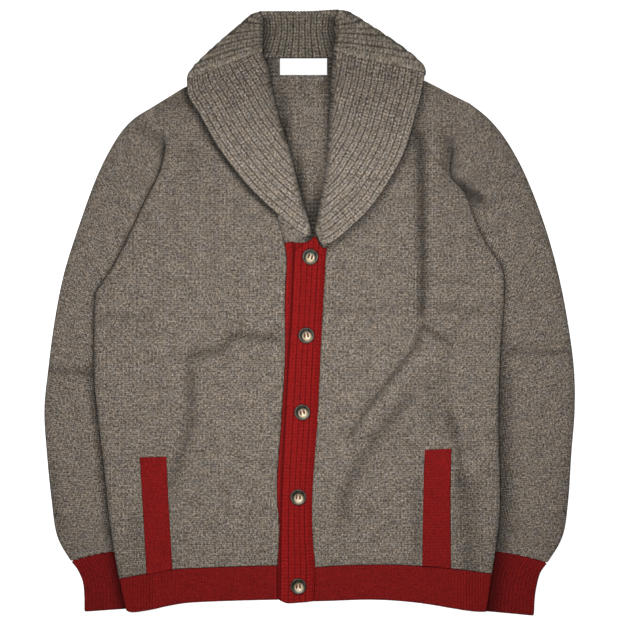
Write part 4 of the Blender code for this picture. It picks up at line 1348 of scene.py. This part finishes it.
@dataclass
class Lapel:
    """Half of the shawl: a fall ribbed along its outer edge, the roll at the crease, and the hidden stand.

    It is laid out on the wearer's right, and turned over for the left.
    """

    side: Side
    rims: tuple[Points, Points] = (
        ((-162, 290), (-151, 271), (-138, 249), (-113, 206), (-74, 156), (-33, 118), (3, 95.5)),
        ((154, 345), *LAPEL_OUT[Side.LEFT]))
    necks: tuple[Points, Points] = (((-74, 321), (-67, 266), (-54, 191), (-39, 116), (-32, 90)),
                                    ((44, 325), (44, 266), (39, 191), (31, 129), (23.5, 86)))
    ribs: tuple[int, int] = (13, 14)
    steps: int = 4
    fall_rows: int = 264
    fall_length: float = 250
    stand_rows: int = 6
    neck_seam: float = 0.4
    end_radius: float = 1.2
    end_least: float = 0.85
    rim_wall: float = 0.5
    roll_fade: float = 4.0
    fold_at: float = 4.0
    fold_reach: float = 6.5
    roll_shade: float = 0.8
    tip_reach: float = 26
    tip_share: float = 0.6
    shade: float = 0.3
    shade_ramp: Point = (195, 90)
    stand_shade_level: float = 0.45
    stand_ramp: Point = (10, 4)
    rim_steps: int = 24
    mitre_gap: float = 0.1

    def own(self, pair: tuple[Points, Points]) -> list[Point]:
        """Gives the side's own line out of a pair, where it is laid out."""
        return [(-self.side.way * x, y) for x, y in pair[self.side]]

    def falls(self) -> tuple[list[Array], Array]:
        """Lays out the fall.

        Returns:
            Its columns from the outer edge to the crease's top, with x, y and the run along the rim in each
            row, and the half ribs that the columns are at.
        """
        rim = smooth_line(self.own(self.rims), self.rim_steps)
        outer_x, crease_x = x_of(self.own(LAPEL_OUT)), x_of(self.own(CREASES))
        mitre_y = y_of(self.own(MITRES), smooth=False)
        tangent = np.gradient(rim, axis=0)
        normal = tangent[:, ::-1] * (-1.0, 1.0) / np.hypot(*tangent.T)[:, None]
        top_x = self.own(CREASES)[0][0] - TUCK
        top = np.array([top_x, mitre_y(top_x) - self.mitre_gap])
        depth = np.min(np.hypot(*(rim - top).T))
        count = 2 * self.ribs[self.side]
        half_ribs = np.linspace(0.0, count, count * self.steps + 1)
        fractions = np.append(edged(self.fall_rows, self.fall_length)[:1 - len(EDGE_STEPS)], 1.0)
        columns = []
        for at in half_ribs:
            share = min(at, count - 1.0) / count
            path = rim + normal * depth * share
            path[:, 0] += (outer_x(rim[:, 1]) - rim[:, 0]) * (1.0 - share)
            path = np.column_stack((path, lengths(rim)))
            path = path_after(path, mitre_y(path[:, 0]) - self.mitre_gap - path[:, 1])[::-1]
            path = path_after(path, crease_x(path[:, 1]) - TUCK - path[:, 0])[::-1]
            column = along(path, fractions)
            columns.append(blend(column, np.array([*top, column[0, 2]]), max(0.0, at - count + 1.0)))
        return columns, half_ribs

    def shape(self) -> Array:
        """Lays out the whole lapel: each fall, its roll and its stand.

        Returns:
            Its patch.
        """
        columns, half_ribs = self.falls()
        crease_x, neck_x = x_of(self.own(CREASES)), x_of(self.own(self.necks))
        turned = -self.side.way
        radius = ROLL_GAP / 2
        low, high = columns[0][-1][1], columns[-1][0][1]
        neck_high, neck_low = self.necks[self.side][0][1], self.necks[self.side][-1][1]
        steps = np.linspace(0.0, 1.0, self.stand_rows + 1)[1:, None]
        grid = []
        for at, fall in zip(half_ribs, columns):
            x, y, along_rim = fall.T
            roll = fall[-1, :2]
            base = stand_height(turned * roll[0], roll[1])
            fold_x = crease_x(y) - TUCK
            reach = ramp(fold_x - x, ROLL_REACH, -ROLL_REACH)
            over = over_front(turned * x, y)
            fall_z = blend(over, stand_height(turned * fold_x, y) + ROLL_GAP, reach * (2.0 - reach))
            end_y = blend(neck_low, neck_high, (roll[1] - low) / (high - low))
            end = np.array([neck_x(end_y) + self.neck_seam, end_y])
            stand = blend(roll, end, steps)
            x = np.concatenate((x, roll[0] + radius * np.cos(ROLL_TURNS), stand[:, 0]))
            y = np.concatenate((y, np.full(len(ROLL_TURNS), roll[1]), stand[:, 1]))
            z = np.concatenate((fall_z, base + radius + radius * np.sin(ROLL_TURNS),
                                stand_height(turned * stand[:, 0], stand[:, 1])))
            onward = radius * (math.pi / 2 - ROLL_TURNS)
            beyond = np.concatenate((along_rim - along_rim[-1], onward,
                                     onward[-1] + steps[:, 0] * np.hypot(*(end - roll))))
            run = beyond + along_rim[-1]
            relief = COLLAR_RIB.level(at, run)
            relief = blend(relief, PLAIN_RELIEF, ramp(beyond, -self.roll_fade, self.roll_fade))
            wall = blend(COLLAR_RIB.wall(relief), RIB_PLAIN, ramp(beyond, 0.0, self.roll_fade))
            wall = wall * rounded(run - run[0], self.end_radius, self.end_least)
            wall = wall * blend(self.rim_wall, 1.0, rounded(at * COLLAR_WALE, CLOTH, 0.0))
            # Painted shade: the stand under the roll is darkened, and so is the roll along the crease, less
            # towards the tip, with the whole lapel darker towards the top.
            relief = blend(relief, self.stand_shade_level, ramp(beyond, *self.stand_ramp))
            depth = blend(self.tip_share, 1.0, ramp(roll[1], low, self.tip_reach))
            relief = relief * (1.0 - self.roll_shade * depth * bell(beyond - self.fold_at, self.fold_reach))
            relief = relief * (1.0 - self.shade * ramp(y, *self.shade_ramp))
            grid.append(patch(turned * x, y, z, wall, at * COLLAR_WALE, run, relief))
        laid = np.stack(grid, axis=2)
        return laid[:, ::-1] if self.side is Side.RIGHT else laid

    def build(self) -> None:
        """Makes the lapel."""
        place_cloth("lapel_" + self.side.name.lower(), [self.shape()], GREY_RIB.material())


@dataclass(frozen=True)
class Section:
    """A section of the collar's back, from the top layer's inner end over its fold to its hidden edge.

    It has that end and its height, the silhouette's point, the gap between the layers, the hidden edge, the
    way and radius of its roll, and how far its rib bends on its way out, as a share of its length.
    """

    start: Array
    high: float
    rim: Array
    gap: float
    hidden: Array
    roll: Array | float = 0.0
    bend: float = 0.0
    fold_share: float = 0.75
    under_rows: int = 8

    def rows(self, top_rows: int) -> Array:
        """Works out the section.

        Args:
            top_rows: how many steps the top layer has.

        Returns:
            x, y, z and the run along it in each row.
        """
        long = float(np.hypot(*(self.start - self.rim)))
        way = (self.start - self.rim) / long
        inset = RIB_PLAIN + self.gap / 2
        level = RIB_PLAIN + self.gap
        fold = self.rim + way * min(inset, long * self.fold_share)
        under = (self.hidden - self.rim) / np.hypot(*(self.hidden - self.rim))
        low = self.rim + under * inset
        t = np.linspace(0.0, 1.0, top_rows + 1)[:, None]
        middle = blend(self.start, fold, 0.5 * (1.0 - abs(self.bend))) + np.array([self.bend * long, 0.0])
        top = (1.0 - t) ** 2 * self.start + 2.0 * t * (1.0 - t) * middle + t ** 2 * fold
        reach = ramp(np.hypot(*(top - self.start).T), ROLL_REACH, -ROLL_REACH)
        top_z = blend(level, self.high, reach * (2.0 - reach))
        top_z[-1] = level
        turns = ROLL_TURNS[:, None]
        upper = turns > 0.0
        turned = np.where(upper, fold, low) - np.where(upper, way, under) * self.gap / 2 * np.cos(turns)
        below = blend(low, self.hidden, np.linspace(0.0, 1.0, self.under_rows + 1)[1:, None])
        points = np.vstack((top, turned, below))
        z = np.concatenate((top_z, inset + self.gap / 2 * np.sin(ROLL_TURNS), np.full(len(below), RIB_PLAIN)))
        return np.column_stack((points, z, lengths(points)))


@dataclass
class CollarBack:
    """Back of the collar: the stand over the neck seam, the top roll, the fall under the neck, the wings."""

    top_edge: Points = ((-62, 377), (-40, 377.5), (0, 377.5), (20, 378.5), (36, 379))
    creases: tuple[Points, Points] = (((-58, 369), (-58, 350), (-59, 327)), ((32, 370), (33, 352), (30, 327)))
    rims: tuple[Points, Points] = (
        ((-62, 377), (-72, 373), (-82, 364), (-112, 338), (-137, 315), (-150, 300), (-153, 291)),
        ((36, 379), (47, 377), (57, 371), (88, 351), (126, 324), (142, 309), (144, 300)))
    back_ribs: int = 12
    wing_ribs: tuple[int, int] = (5, 4)
    steps: int = 4
    top_rows: int = 90
    stand_rows: int = 56
    stand_base: float = 3.8
    stand_foot: Point = (-71, 42)
    stand_tuck: float = 2.0
    stand_tuck_over: float = 1.5
    stand_radius: float = 0.9
    wing_rise: float = 10
    roll_share: float = 0.15
    inset_share: float = 0.08
    gap_power: float = 0.8
    fall_gap: float = 0.8
    fall_turns: tuple[Point, Point] = ((222, 204), (318, 338))
    bend: float = 0.30
    bend_power: float = 0.7
    shade_depth: float = 0.7
    wing_shade_reach: float = 3
    stand_shade_reach: float = 10
    wing_soft: float = 0.8
    wing_power: float = 1.6
    stand_shade: float = 0.8

    def hem(self, turn: float) -> Array:
        """Gives a point of the hidden edge of the collar's back fall, at a turn round its centre."""
        angle = math.radians(turn)
        return FALL_CENTRE + np.array(FALL_RADII) * (math.cos(angle), math.sin(angle))

    def wing(self, side: Side) -> list[Section]:
        """Works out one wing's sections, from the corner of the neck to the mitre.

        Args:
            side: the wearer's side.

        Returns:
            Its sections.
        """
        shares = np.linspace(0.0, 1.0, 2 * self.wing_ribs[side] * self.steps + 1)
        gap_end = FRONT_TOP + self.fall_gap + NECK_LIFT - RIB_PLAIN
        level = np.array([side.way, 0.0])
        lines = [along(smooth_line(pair[side]), shares) for pair in (self.creases, self.rims)]
        sections = []
        for share, edge, rim in zip(shares, *lines):
            roll = ROLL_GAP / 2 * ramp(share, 0.0, self.roll_share)
            way = blend(level, (rim - edge) / np.hypot(*(rim - edge)), share ** 2)
            sections.append(Section(
                start=edge + way * (RIB_CREST + roll) * ramp(share, 0.0, self.inset_share),
                high=self.stand_base + self.wing_rise * (1.0 - (1.0 - share) ** 2), rim=rim,
                gap=blend(self.fall_gap, gap_end, share ** self.gap_power),
                hidden=self.hem(blend(*self.fall_turns[side], share)), roll=roll * way,
                bend=self.bend * side.way * math.sin(math.pi * share) ** self.bend_power))
        return sections

    def ribbed(self, grid: Array, half_ribs: Array, ribbed_rows: int, on_stand: bool = False) -> Array:
        """Makes a patch of sections.

        Args:
            grid: x, y, z and run of the sections' rows.
            half_ribs: the half ribs that the sections are at.
            ribbed_rows: how many first rows are ribbed.
            on_stand: whether they lie on the stand.

        Returns:
            The patch.
        """
        x, y, z, run = np.moveaxis(grid, 2, 0)
        ends = 2.0 * (sum(self.wing_ribs) + self.back_ribs)
        half_ribs = half_ribs[:, None]
        own = ramp(np.minimum(half_ribs, ends - half_ribs))
        relief = blend(PLAIN_RELIEF, COLLAR_RIB.level(half_ribs, run), own)
        wall = np.where(np.arange(x.shape[1]) >= ribbed_rows, RIB_PLAIN, COLLAR_RIB.wall(relief))
        if not on_stand:
            relief = 1.0 - self.wing_soft * (1.0 - relief ** self.wing_power)
        # Painted shade: the colour is darkened beside the creases, over a wider reach on the stand.
        reach = self.stand_shade_reach if on_stand else self.wing_shade_reach
        relief = relief * np.minimum(*(painted_shade_beside(crease, x, y, reach, self.shade_depth) for crease in self.creases))
        return patch(x, y, z, wall, half_ribs * COLLAR_WALE, run, relief)

    def stand(self, ends: Array, half_ribs: Array) -> Array:
        """Lays out the stand, which rises from the neck seam to the top roll.

        Args:
            ends: x and y of its points at the top roll.
            half_ribs: the half ribs that they are at.

        Returns:
            Its patch.
        """
        share = np.linspace(0.0, 1.0, len(ends))[:, None]
        end_x, end_y = ends.T[:, :, None]
        foot_x = blend(*self.stand_foot, share)
        drop = np.linspace(1.0, 0.0, self.stand_rows + 1)
        tuck = np.sin(math.pi * ramp(drop * self.stand_tuck_over)) ** 2
        x = blend(end_x, foot_x, drop ** 3) + (1.0 - 2.0 * share) * self.stand_tuck * tuck
        y = blend(end_y, TOP(foot_x) + 2 * SEAM, drop)
        grid = np.stack(np.broadcast_arrays(x, y, self.stand_base, -np.abs(y - end_y)), axis=-1)
        laid = self.ribbed(grid, half_ribs, self.stand_rows + 1, on_stand=True)
        laid[3] *= rounded(np.abs(y - y[:, :1]), self.stand_radius)
        # Painted shade: the stand, low between the wings, is darkened overall.
        laid[6] *= self.stand_shade
        return laid

    def roll(self, sections: list[Section], half_ribs: Array) -> Array:
        """Lays out a wing's quarter turn at its crease.

        Args:
            sections: the wing's sections.
            half_ribs: the half ribs that they are at.

        Returns:
            Its patch.
        """
        turns = ROLL_TURNS[QUARTER_ROWS - 1::-1]
        grid = []
        for part in sections:
            radius = float(np.hypot(*part.roll))
            points = part.start - part.roll * np.cos(turns)[:, None]
            heights = part.high - radius * (1.0 - np.sin(turns))
            rows = np.column_stack((points, heights, -radius * (math.pi / 2 - turns)))
            grid.append(np.vstack((rows, (*part.start, part.high, 0.0))))
        return self.ribbed(np.array(grid), half_ribs, QUARTER_ROWS + 1)

    def build(self) -> None:
        """Makes the collar's back piece."""
        right, left = self.wing(Side.RIGHT)[::-1], self.wing(Side.LEFT)
        count = 2 * self.back_ribs * self.steps
        corners, ends, turns = (np.array([line[0] for line in pair], dtype=float)
                                for pair in (self.creases, self.rims, self.fall_turns))
        sections = list(right)
        for share in np.arange(1, count) / count:
            rim = blend(*ends, share)
            rim[1] = y_of(self.top_edge)(rim[0])
            sections.append(Section(blend(*corners, share), self.stand_base, rim, self.fall_gap,
                                    self.hem(blend(*turns, share))))
        sections += left
        grid = np.array([section.rows(self.top_rows) for section in sections])
        half_ribs = np.arange(len(sections)) / self.steps
        inner = slice(len(right) - 1, len(right) + count)
        patches = [self.ribbed(grid, half_ribs, self.top_rows + QUARTER_ROWS + 1),
                   self.stand(grid[inner, 0, :2], half_ribs[inner]),
                   self.roll(right, half_ribs[:len(right)]), self.roll(left, half_ribs[-len(left):])]
        place_cloth("collar_back", [laid[:, ::-1] for laid in patches], GREY_RIB_SHADED.material())


# Trims


@dataclass(frozen=True)
class WovenFinish:
    """The label's plain woven cloth."""

    thread: Point = (620, 0.4)
    low: Triple = (0.97, 0.97, 0.965)
    high: Triple = (1.0, 1.0, 0.995)
    rough: Point = (0.75, -0.1)
    bump: Point = (0.3, 0.2)
    sheen: float = 0.1

    def material(self) -> bpy.types.Material:
        """Makes the material.

        Returns:
            The material.
        """
        made, graph, shader = new_material("label_weave")
        place = graph.add("UVMap", uv_map="knit").outputs[0]
        warp, weft = (graph.wave(place, *self.thread, way) for way in "XY")
        threads = graph.math("MULTIPLY", warp, weft)
        graph.put(shader, {"Base Color": graph.mix(threads, self.low, self.high),
                           "Roughness": graph.math("MULTIPLY_ADD", threads, self.rough[1], self.rough[0]),
                           "Normal": graph.bump(*self.bump, threads), "Sheen Weight": self.sheen})
        return made


@dataclass(frozen=True)
class HornFinish:
    """Horn with a cream centre in a dark mottled rim, in millimetres, the centre set low so that the dish's
    top is darker: painted shade.

    The noises are given by their scale, detail and roughness.
    """

    streak: Triple = (1.0, 0.4, 1.0)
    cloud: Triple = (260, 4.0, 0.6)
    grain: Triple = (1100, 3.0, 0.6)
    centre: Point = (1.0, -1.9)
    cloud_reach: float = 4.5
    rim: Point = (2.6, 7.2)
    cream: tuple[Triple, Triple] = ((0.42, 0.32, 0.18), (0.78, 0.68, 0.48))
    cream_band: Point = (0.35, 0.7)
    dark: tuple[Triple, Triple] = ((0.012, 0.011, 0.008), (0.045, 0.038, 0.024))
    dark_band: Point = (0.35, 0.65)
    rough: Point = (0.2, 0.15)
    bump: Point = (0.15, 0.1)
    gloss: float = 0.25
    coat: Point = (0.2, 0.06)

    def material(self) -> bpy.types.Material:
        """Makes the material.

        Returns:
            The material.
        """
        made, graph, shader = new_material("button_horn")
        place = graph.add("TexCoord").outputs["Object"]
        streaked = graph.vector("MULTIPLY", place, self.streak)
        cloud, grain = graph.noise(streaked, *self.cloud), graph.noise(streaked, *self.grain)
        # The cream centre is moved off the button's middle, mostly downwards: painted shade at the top of the
        # dish.
        moved = graph.vector("ADD", place, (-self.centre[0] * MM, -self.centre[1] * MM, 0.0))
        flat = graph.vector("MULTIPLY", moved, (1.0, 1.0, 0.0))
        radius = graph.add("VectorMath", {0: flat}, operation="LENGTH").outputs["Value"]
        share = graph.band(graph.drift(cloud, 0.5, self.cloud_reach * MM, radius),
                           self.rim[0] * MM, self.rim[1] * MM)
        cream = graph.mix(graph.band(grain, *self.cream_band), *self.cream)
        dark = graph.mix(graph.band(cloud, *self.dark_band), *self.dark)
        graph.put(shader, {"Base Color": graph.mix(share, cream, dark),
                           "Roughness": graph.math("MULTIPLY_ADD", grain, self.rough[1], self.rough[0]),
                           "Normal": graph.bump(*self.bump, grain), "Specular IOR Level": self.gloss,
                           "Coat Weight": self.coat[0], "Coat Roughness": self.coat[1]})
        return made


@dataclass(frozen=True)
class ThreadFinish:
    """The twisted thread that the buttons are sewn on with."""

    twist: Point = (900, 1.0)
    low: Triple = (0.080, 0.016, 0.010)
    high: Triple = (0.24, 0.060, 0.035)
    rough: Point = (0.7, -0.15)
    bump: Point = (0.4, 0.1)

    def material(self) -> bpy.types.Material:
        """Makes the material.

        Returns:
            The material.
        """
        made, graph, shader = new_material("sewing_thread")
        twist = graph.wave(graph.add("TexCoord").outputs["Object"], *self.twist, "DIAGONAL")
        graph.put(shader, {"Base Color": graph.mix(twist, self.low, self.high),
                           "Roughness": graph.math("MULTIPLY_ADD", twist, self.rough[1], self.rough[0]),
                           "Normal": graph.bump(*self.bump, twist)})
        return made


@dataclass
class Label:
    """The blank woven label inside the neck."""

    sides: Point = (-37, 22)
    ends: Point = (297.5, 318.4)
    grid: tuple[int, int] = (20, 8)
    wall: float = 0.8
    radius: float = 0.5
    edge: float = 0.6
    ripple: Point = (0.25, 9)

    def build(self) -> None:
        """Makes the label."""
        lines = []
        for (start, end), count in zip((self.sides, self.ends), self.grid):
            lines.append(blend(start, end, edged(count, end - start, self.edge)))
        x, y = np.meshgrid(*lines)
        wall = self.wall * rounded(np.minimum.reduce(edge_distance(x, y)), self.radius)
        z = NECK_LIFT + CLOTH + SEAM + self.ripple[0] * np.sin(x / self.ripple[1]) ** 2
        place_cloth("label", [patch(x, y, z, wall, x, y, 1.0)], WovenFinish().material())


def baked(blank: bpy.types.Object, *tools: bpy.types.Object) -> bpy.types.Mesh:
    """Turns an object with its modifiers into a plain smooth mesh, and removes it and its tools.

    Args:
        blank: the object.
        tools: the objects that cut it.

    Returns:
        The mesh.
    """
    bpy.context.view_layer.update()
    mesh = bpy.data.meshes.new_from_object(blank.evaluated_get(bpy.context.evaluated_depsgraph_get()))
    for old in (blank, *tools):
        bpy.data.objects.remove(old, do_unlink=True)
    mesh.shade_smooth()
    mesh.materials.clear()
    return mesh


@dataclass
class Buttons:
    """Five horn buttons, each sewn on with two stitches of red thread."""

    places: Points = ((1, 70), (-4, -28), (-9, -124), (-14, -230), (-14, -341))
    turns: tuple[float, ...] = (-22, 8, 14, -6, 4)
    profile: Points = ((0.0, 1.8), (2.0, 1.84), (4.0, 2.02), (5.6, 2.35), (6.8, 2.8), (7.6, 3.2), (8.2, 3.45),
                       (8.8, 3.58), (9.3, 3.5), (9.7, 3.2), (9.98, 2.7), (10.08, 2.1), (9.9, 1.3), (9.2, 0.5),
                       (8.2, 0.1), (7.0, 0.0), (0.0, 0.0))
    sides: int = 64
    hole: float = 0.95
    hole_sides: int = 20
    drill: float = 12
    pitch: float = 2.1
    sharp: float = 40
    thread_radius: float = 0.5
    strands: tuple[float, ...] = (-0.75, 0.0, 0.75)
    strand_steps: int = 13
    strand_low: float = 0.6
    strand_rise: float = 1.6
    strand_round: float = 0.35
    crown: float = 0.3
    fan: float = 0.03
    lean: float = 0.25
    shank_radius: float = 1.5
    shank_turns: int = 4
    shank_steps: int = 60
    shank_from: float = -0.25
    shank_height: float = 0.3

    def disc(self) -> bpy.types.Mesh:
        """Turns the button's profile and drills its four holes.

        Returns:
            Its mesh.
        """
        mesh = bpy.data.meshes.new("button")
        points = [(radius * MM, 0.0, height * MM) for radius, height in self.profile]
        mesh.from_pydata(points, [(i, i + 1) for i in range(len(points) - 1)], [])
        blank = linked("button_blank", mesh)
        screw = blank.modifiers.new("turned", "SCREW")
        screw.steps = screw.render_steps = self.sides
        screw.use_merge_vertices = True
        screw.merge_threshold = MERGE * MM
        bm = bmesh.new()
        radius, pitch = self.hole * MM, self.pitch * MM
        for x, y in ((-pitch, -pitch), (-pitch, pitch), (pitch, -pitch), (pitch, pitch)):
            made = bmesh.ops.create_cone(bm, cap_ends=True, segments=self.hole_sides, radius1=radius,
                                         radius2=radius, depth=self.drill * MM)
            bmesh.ops.translate(bm, verts=made["verts"], vec=(x, y, 0.0))
        bit = bpy.data.meshes.new("drill")
        bm.to_mesh(bit)
        bm.free()
        drill = linked("drill", bit)
        cut = blank.modifiers.new("holes", "BOOLEAN")
        cut.operation = "DIFFERENCE"
        cut.object = drill
        disc = baked(blank, drill)
        disc.set_sharp_from_angle(angle=math.radians(self.sharp))
        return disc

    def stitches(self) -> bpy.types.Mesh:
        """Lays the thread: three strands through each pair of holes, and a shank under the button.

        Returns:
            Its mesh.
        """
        curve = bpy.data.curves.new("stitches", "CURVE")
        curve.dimensions = "3D"
        curve.bevel_depth = self.thread_radius * MM
        curve.bevel_resolution = 2
        curve.use_fill_caps = True
        t = np.linspace(0.0, 1.0, self.strand_steps)
        lines = []
        for column in (-self.pitch, self.pitch):
            for strand in self.strands:
                x = column + strand - math.copysign(self.lean, column) * np.sin(math.pi * (t - 0.5))
                y = self.pitch * (2.0 * t - 1.0) * (1.0 + self.fan * strand)
                rise = self.strand_rise + self.crown * (strand == 0.0)
                lines.append((x, y, self.strand_low + rise * np.sin(math.pi * t) ** self.strand_round))
        t = np.linspace(0.0, 1.0, self.shank_steps)
        turn = 2 * math.pi * self.shank_turns * t
        lines.append((self.shank_radius * np.cos(turn), self.shank_radius * np.sin(turn),
                      self.shank_from + self.shank_height * t))
        for line in lines:
            spline = curve.splines.new("POLY")
            spline.points.add(len(line[0]) - 1)
            for point, place in zip(spline.points, zip(*line)):
                point.co = (*(value * MM for value in place), 1.0)
        return baked(linked("stitches", curve))

    def build(self) -> None:
        """Makes the five buttons and their threads."""
        disc, stitches = self.disc(), self.stitches()
        disc.materials.append(HornFinish().material())
        stitches.materials.append(ThreadFinish().material())
        base = BAND_BASE + RIB_CREST + SEAM
        for number, ((x, y), turn) in enumerate(zip(self.places, self.turns), start=1):
            for name, data in (("horn_button", disc), ("button_thread", stitches)):
                piece = linked(f"{name}_{number}", data)
                piece.location = ((x - CENTRE[0]) * MM, (y - CENTRE[1]) * MM, base * MM)
                piece.rotation_euler = (0.0, 0.0, math.radians(turn))
                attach(piece, BODY)
                if data is disc:
                    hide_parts(f"button_{number}")
                log.info("%s made", piece.name)


@dataclass
class Studio:
    """A plain pale floor, soft lights and a camera straight above."""

    width: float = 0.775
    aim: Point = (0.225, 1.6)
    distance: float = 2.6
    level: float = 7.0
    sensor: float = 36
    floor_half: float = 6
    floor_drop: float = 0.2
    floor_tone: float = 0.93
    floor_glow: float = 0.7
    floor_rough: float = 0.9
    floor_gloss: float = 0.1
    sky: float = 0.12
    lights: tuple[tuple[str, Triple, float, float], ...] = (
        ("key", (-0.9, 0.7, 3.75), 1.4, 62.0), ("softbox", (0.01, -0.045, 0.58), 0.6, 3.6))

    def floor(self) -> None:
        """Makes the floor."""
        half = self.floor_half
        mesh = bpy.data.meshes.new("floor")
        corners = [(-half, -half, 0), (half, -half, 0), (half, half, 0), (-half, half, 0)]
        mesh.from_pydata(corners, [], [(0, 1, 2, 3)])
        floor = linked("floor", mesh)
        floor.location = (0.0, 0.0, -self.floor_drop * MM)
        floor.visible_diffuse = False
        paper, graph, shader = new_material("floor_paper")
        graph.put(shader, {"Base Color": (*[self.floor_tone] * 3, 1.0), "Roughness": self.floor_rough,
                           "Specular IOR Level": self.floor_gloss, "Emission Color": (1.0, 1.0, 1.0, 1.0),
                           "Emission Strength": self.floor_glow})
        mesh.materials.append(paper)

    def light(self, name: str, place: Triple, size: float, power: float) -> None:
        """Adds a round soft light that points at the cardigan's middle and isn't seen itself.

        Args:
            name: the light's name.
            place: where it hangs, in metres.
            size: its width, in metres.
            power: its power, in watts.
        """
        lamp = bpy.data.lights.new(name, "AREA")
        lamp.shape, lamp.size, lamp.energy = "DISK", size, power
        held = linked(name, lamp)
        held.location = place
        held.visible_camera = False
        tilt = math.acos(place[2] / math.hypot(*place))
        held.rotation_euler = (tilt, 0.0, math.atan2(place[1], place[0]) + math.pi / 2)

    def build(self) -> None:
        """Makes the floor, the lights, the sky and the camera."""
        self.floor()
        world = bpy.data.worlds.new("soft_room")
        world.use_nodes = True
        graph = Graph(world.node_tree)
        graph.put(world.node_tree.nodes["Background"], {"Color": (1.0, 1.0, 1.0, 1.0), "Strength": self.sky})
        bpy.context.scene.world = world
        for light in self.lights:
            self.light(*light)
        bpy.context.scene.view_settings.view_transform = "Standard"
        lens = bpy.data.cameras.new("overhead")
        lens.sensor_fit = "HORIZONTAL"
        lens.sensor_width = self.sensor
        lens.lens = self.sensor * (self.distance - self.level * MM) / self.width
        camera = linked("overhead", lens)
        camera.location = (self.aim[0] * MM, self.aim[1] * MM, self.distance)
        bpy.context.scene.camera = camera


def main() -> None:
    """Builds every piece round the frame."""
    logging.basicConfig(level=logging.INFO, format="%(name)s: %(message)s")
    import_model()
    MarledYarn().build()
    FineKnit().build()
    for part in (Studio(), Body(), Bands(), Welts(), Sleeves(), Lapel(Side.RIGHT), Lapel(Side.LEFT),
                 CollarBack(), Label(), Buttons()):
        part.build()
    bpy.context.view_layer.update()


if __name__ == "__main__":
    main()
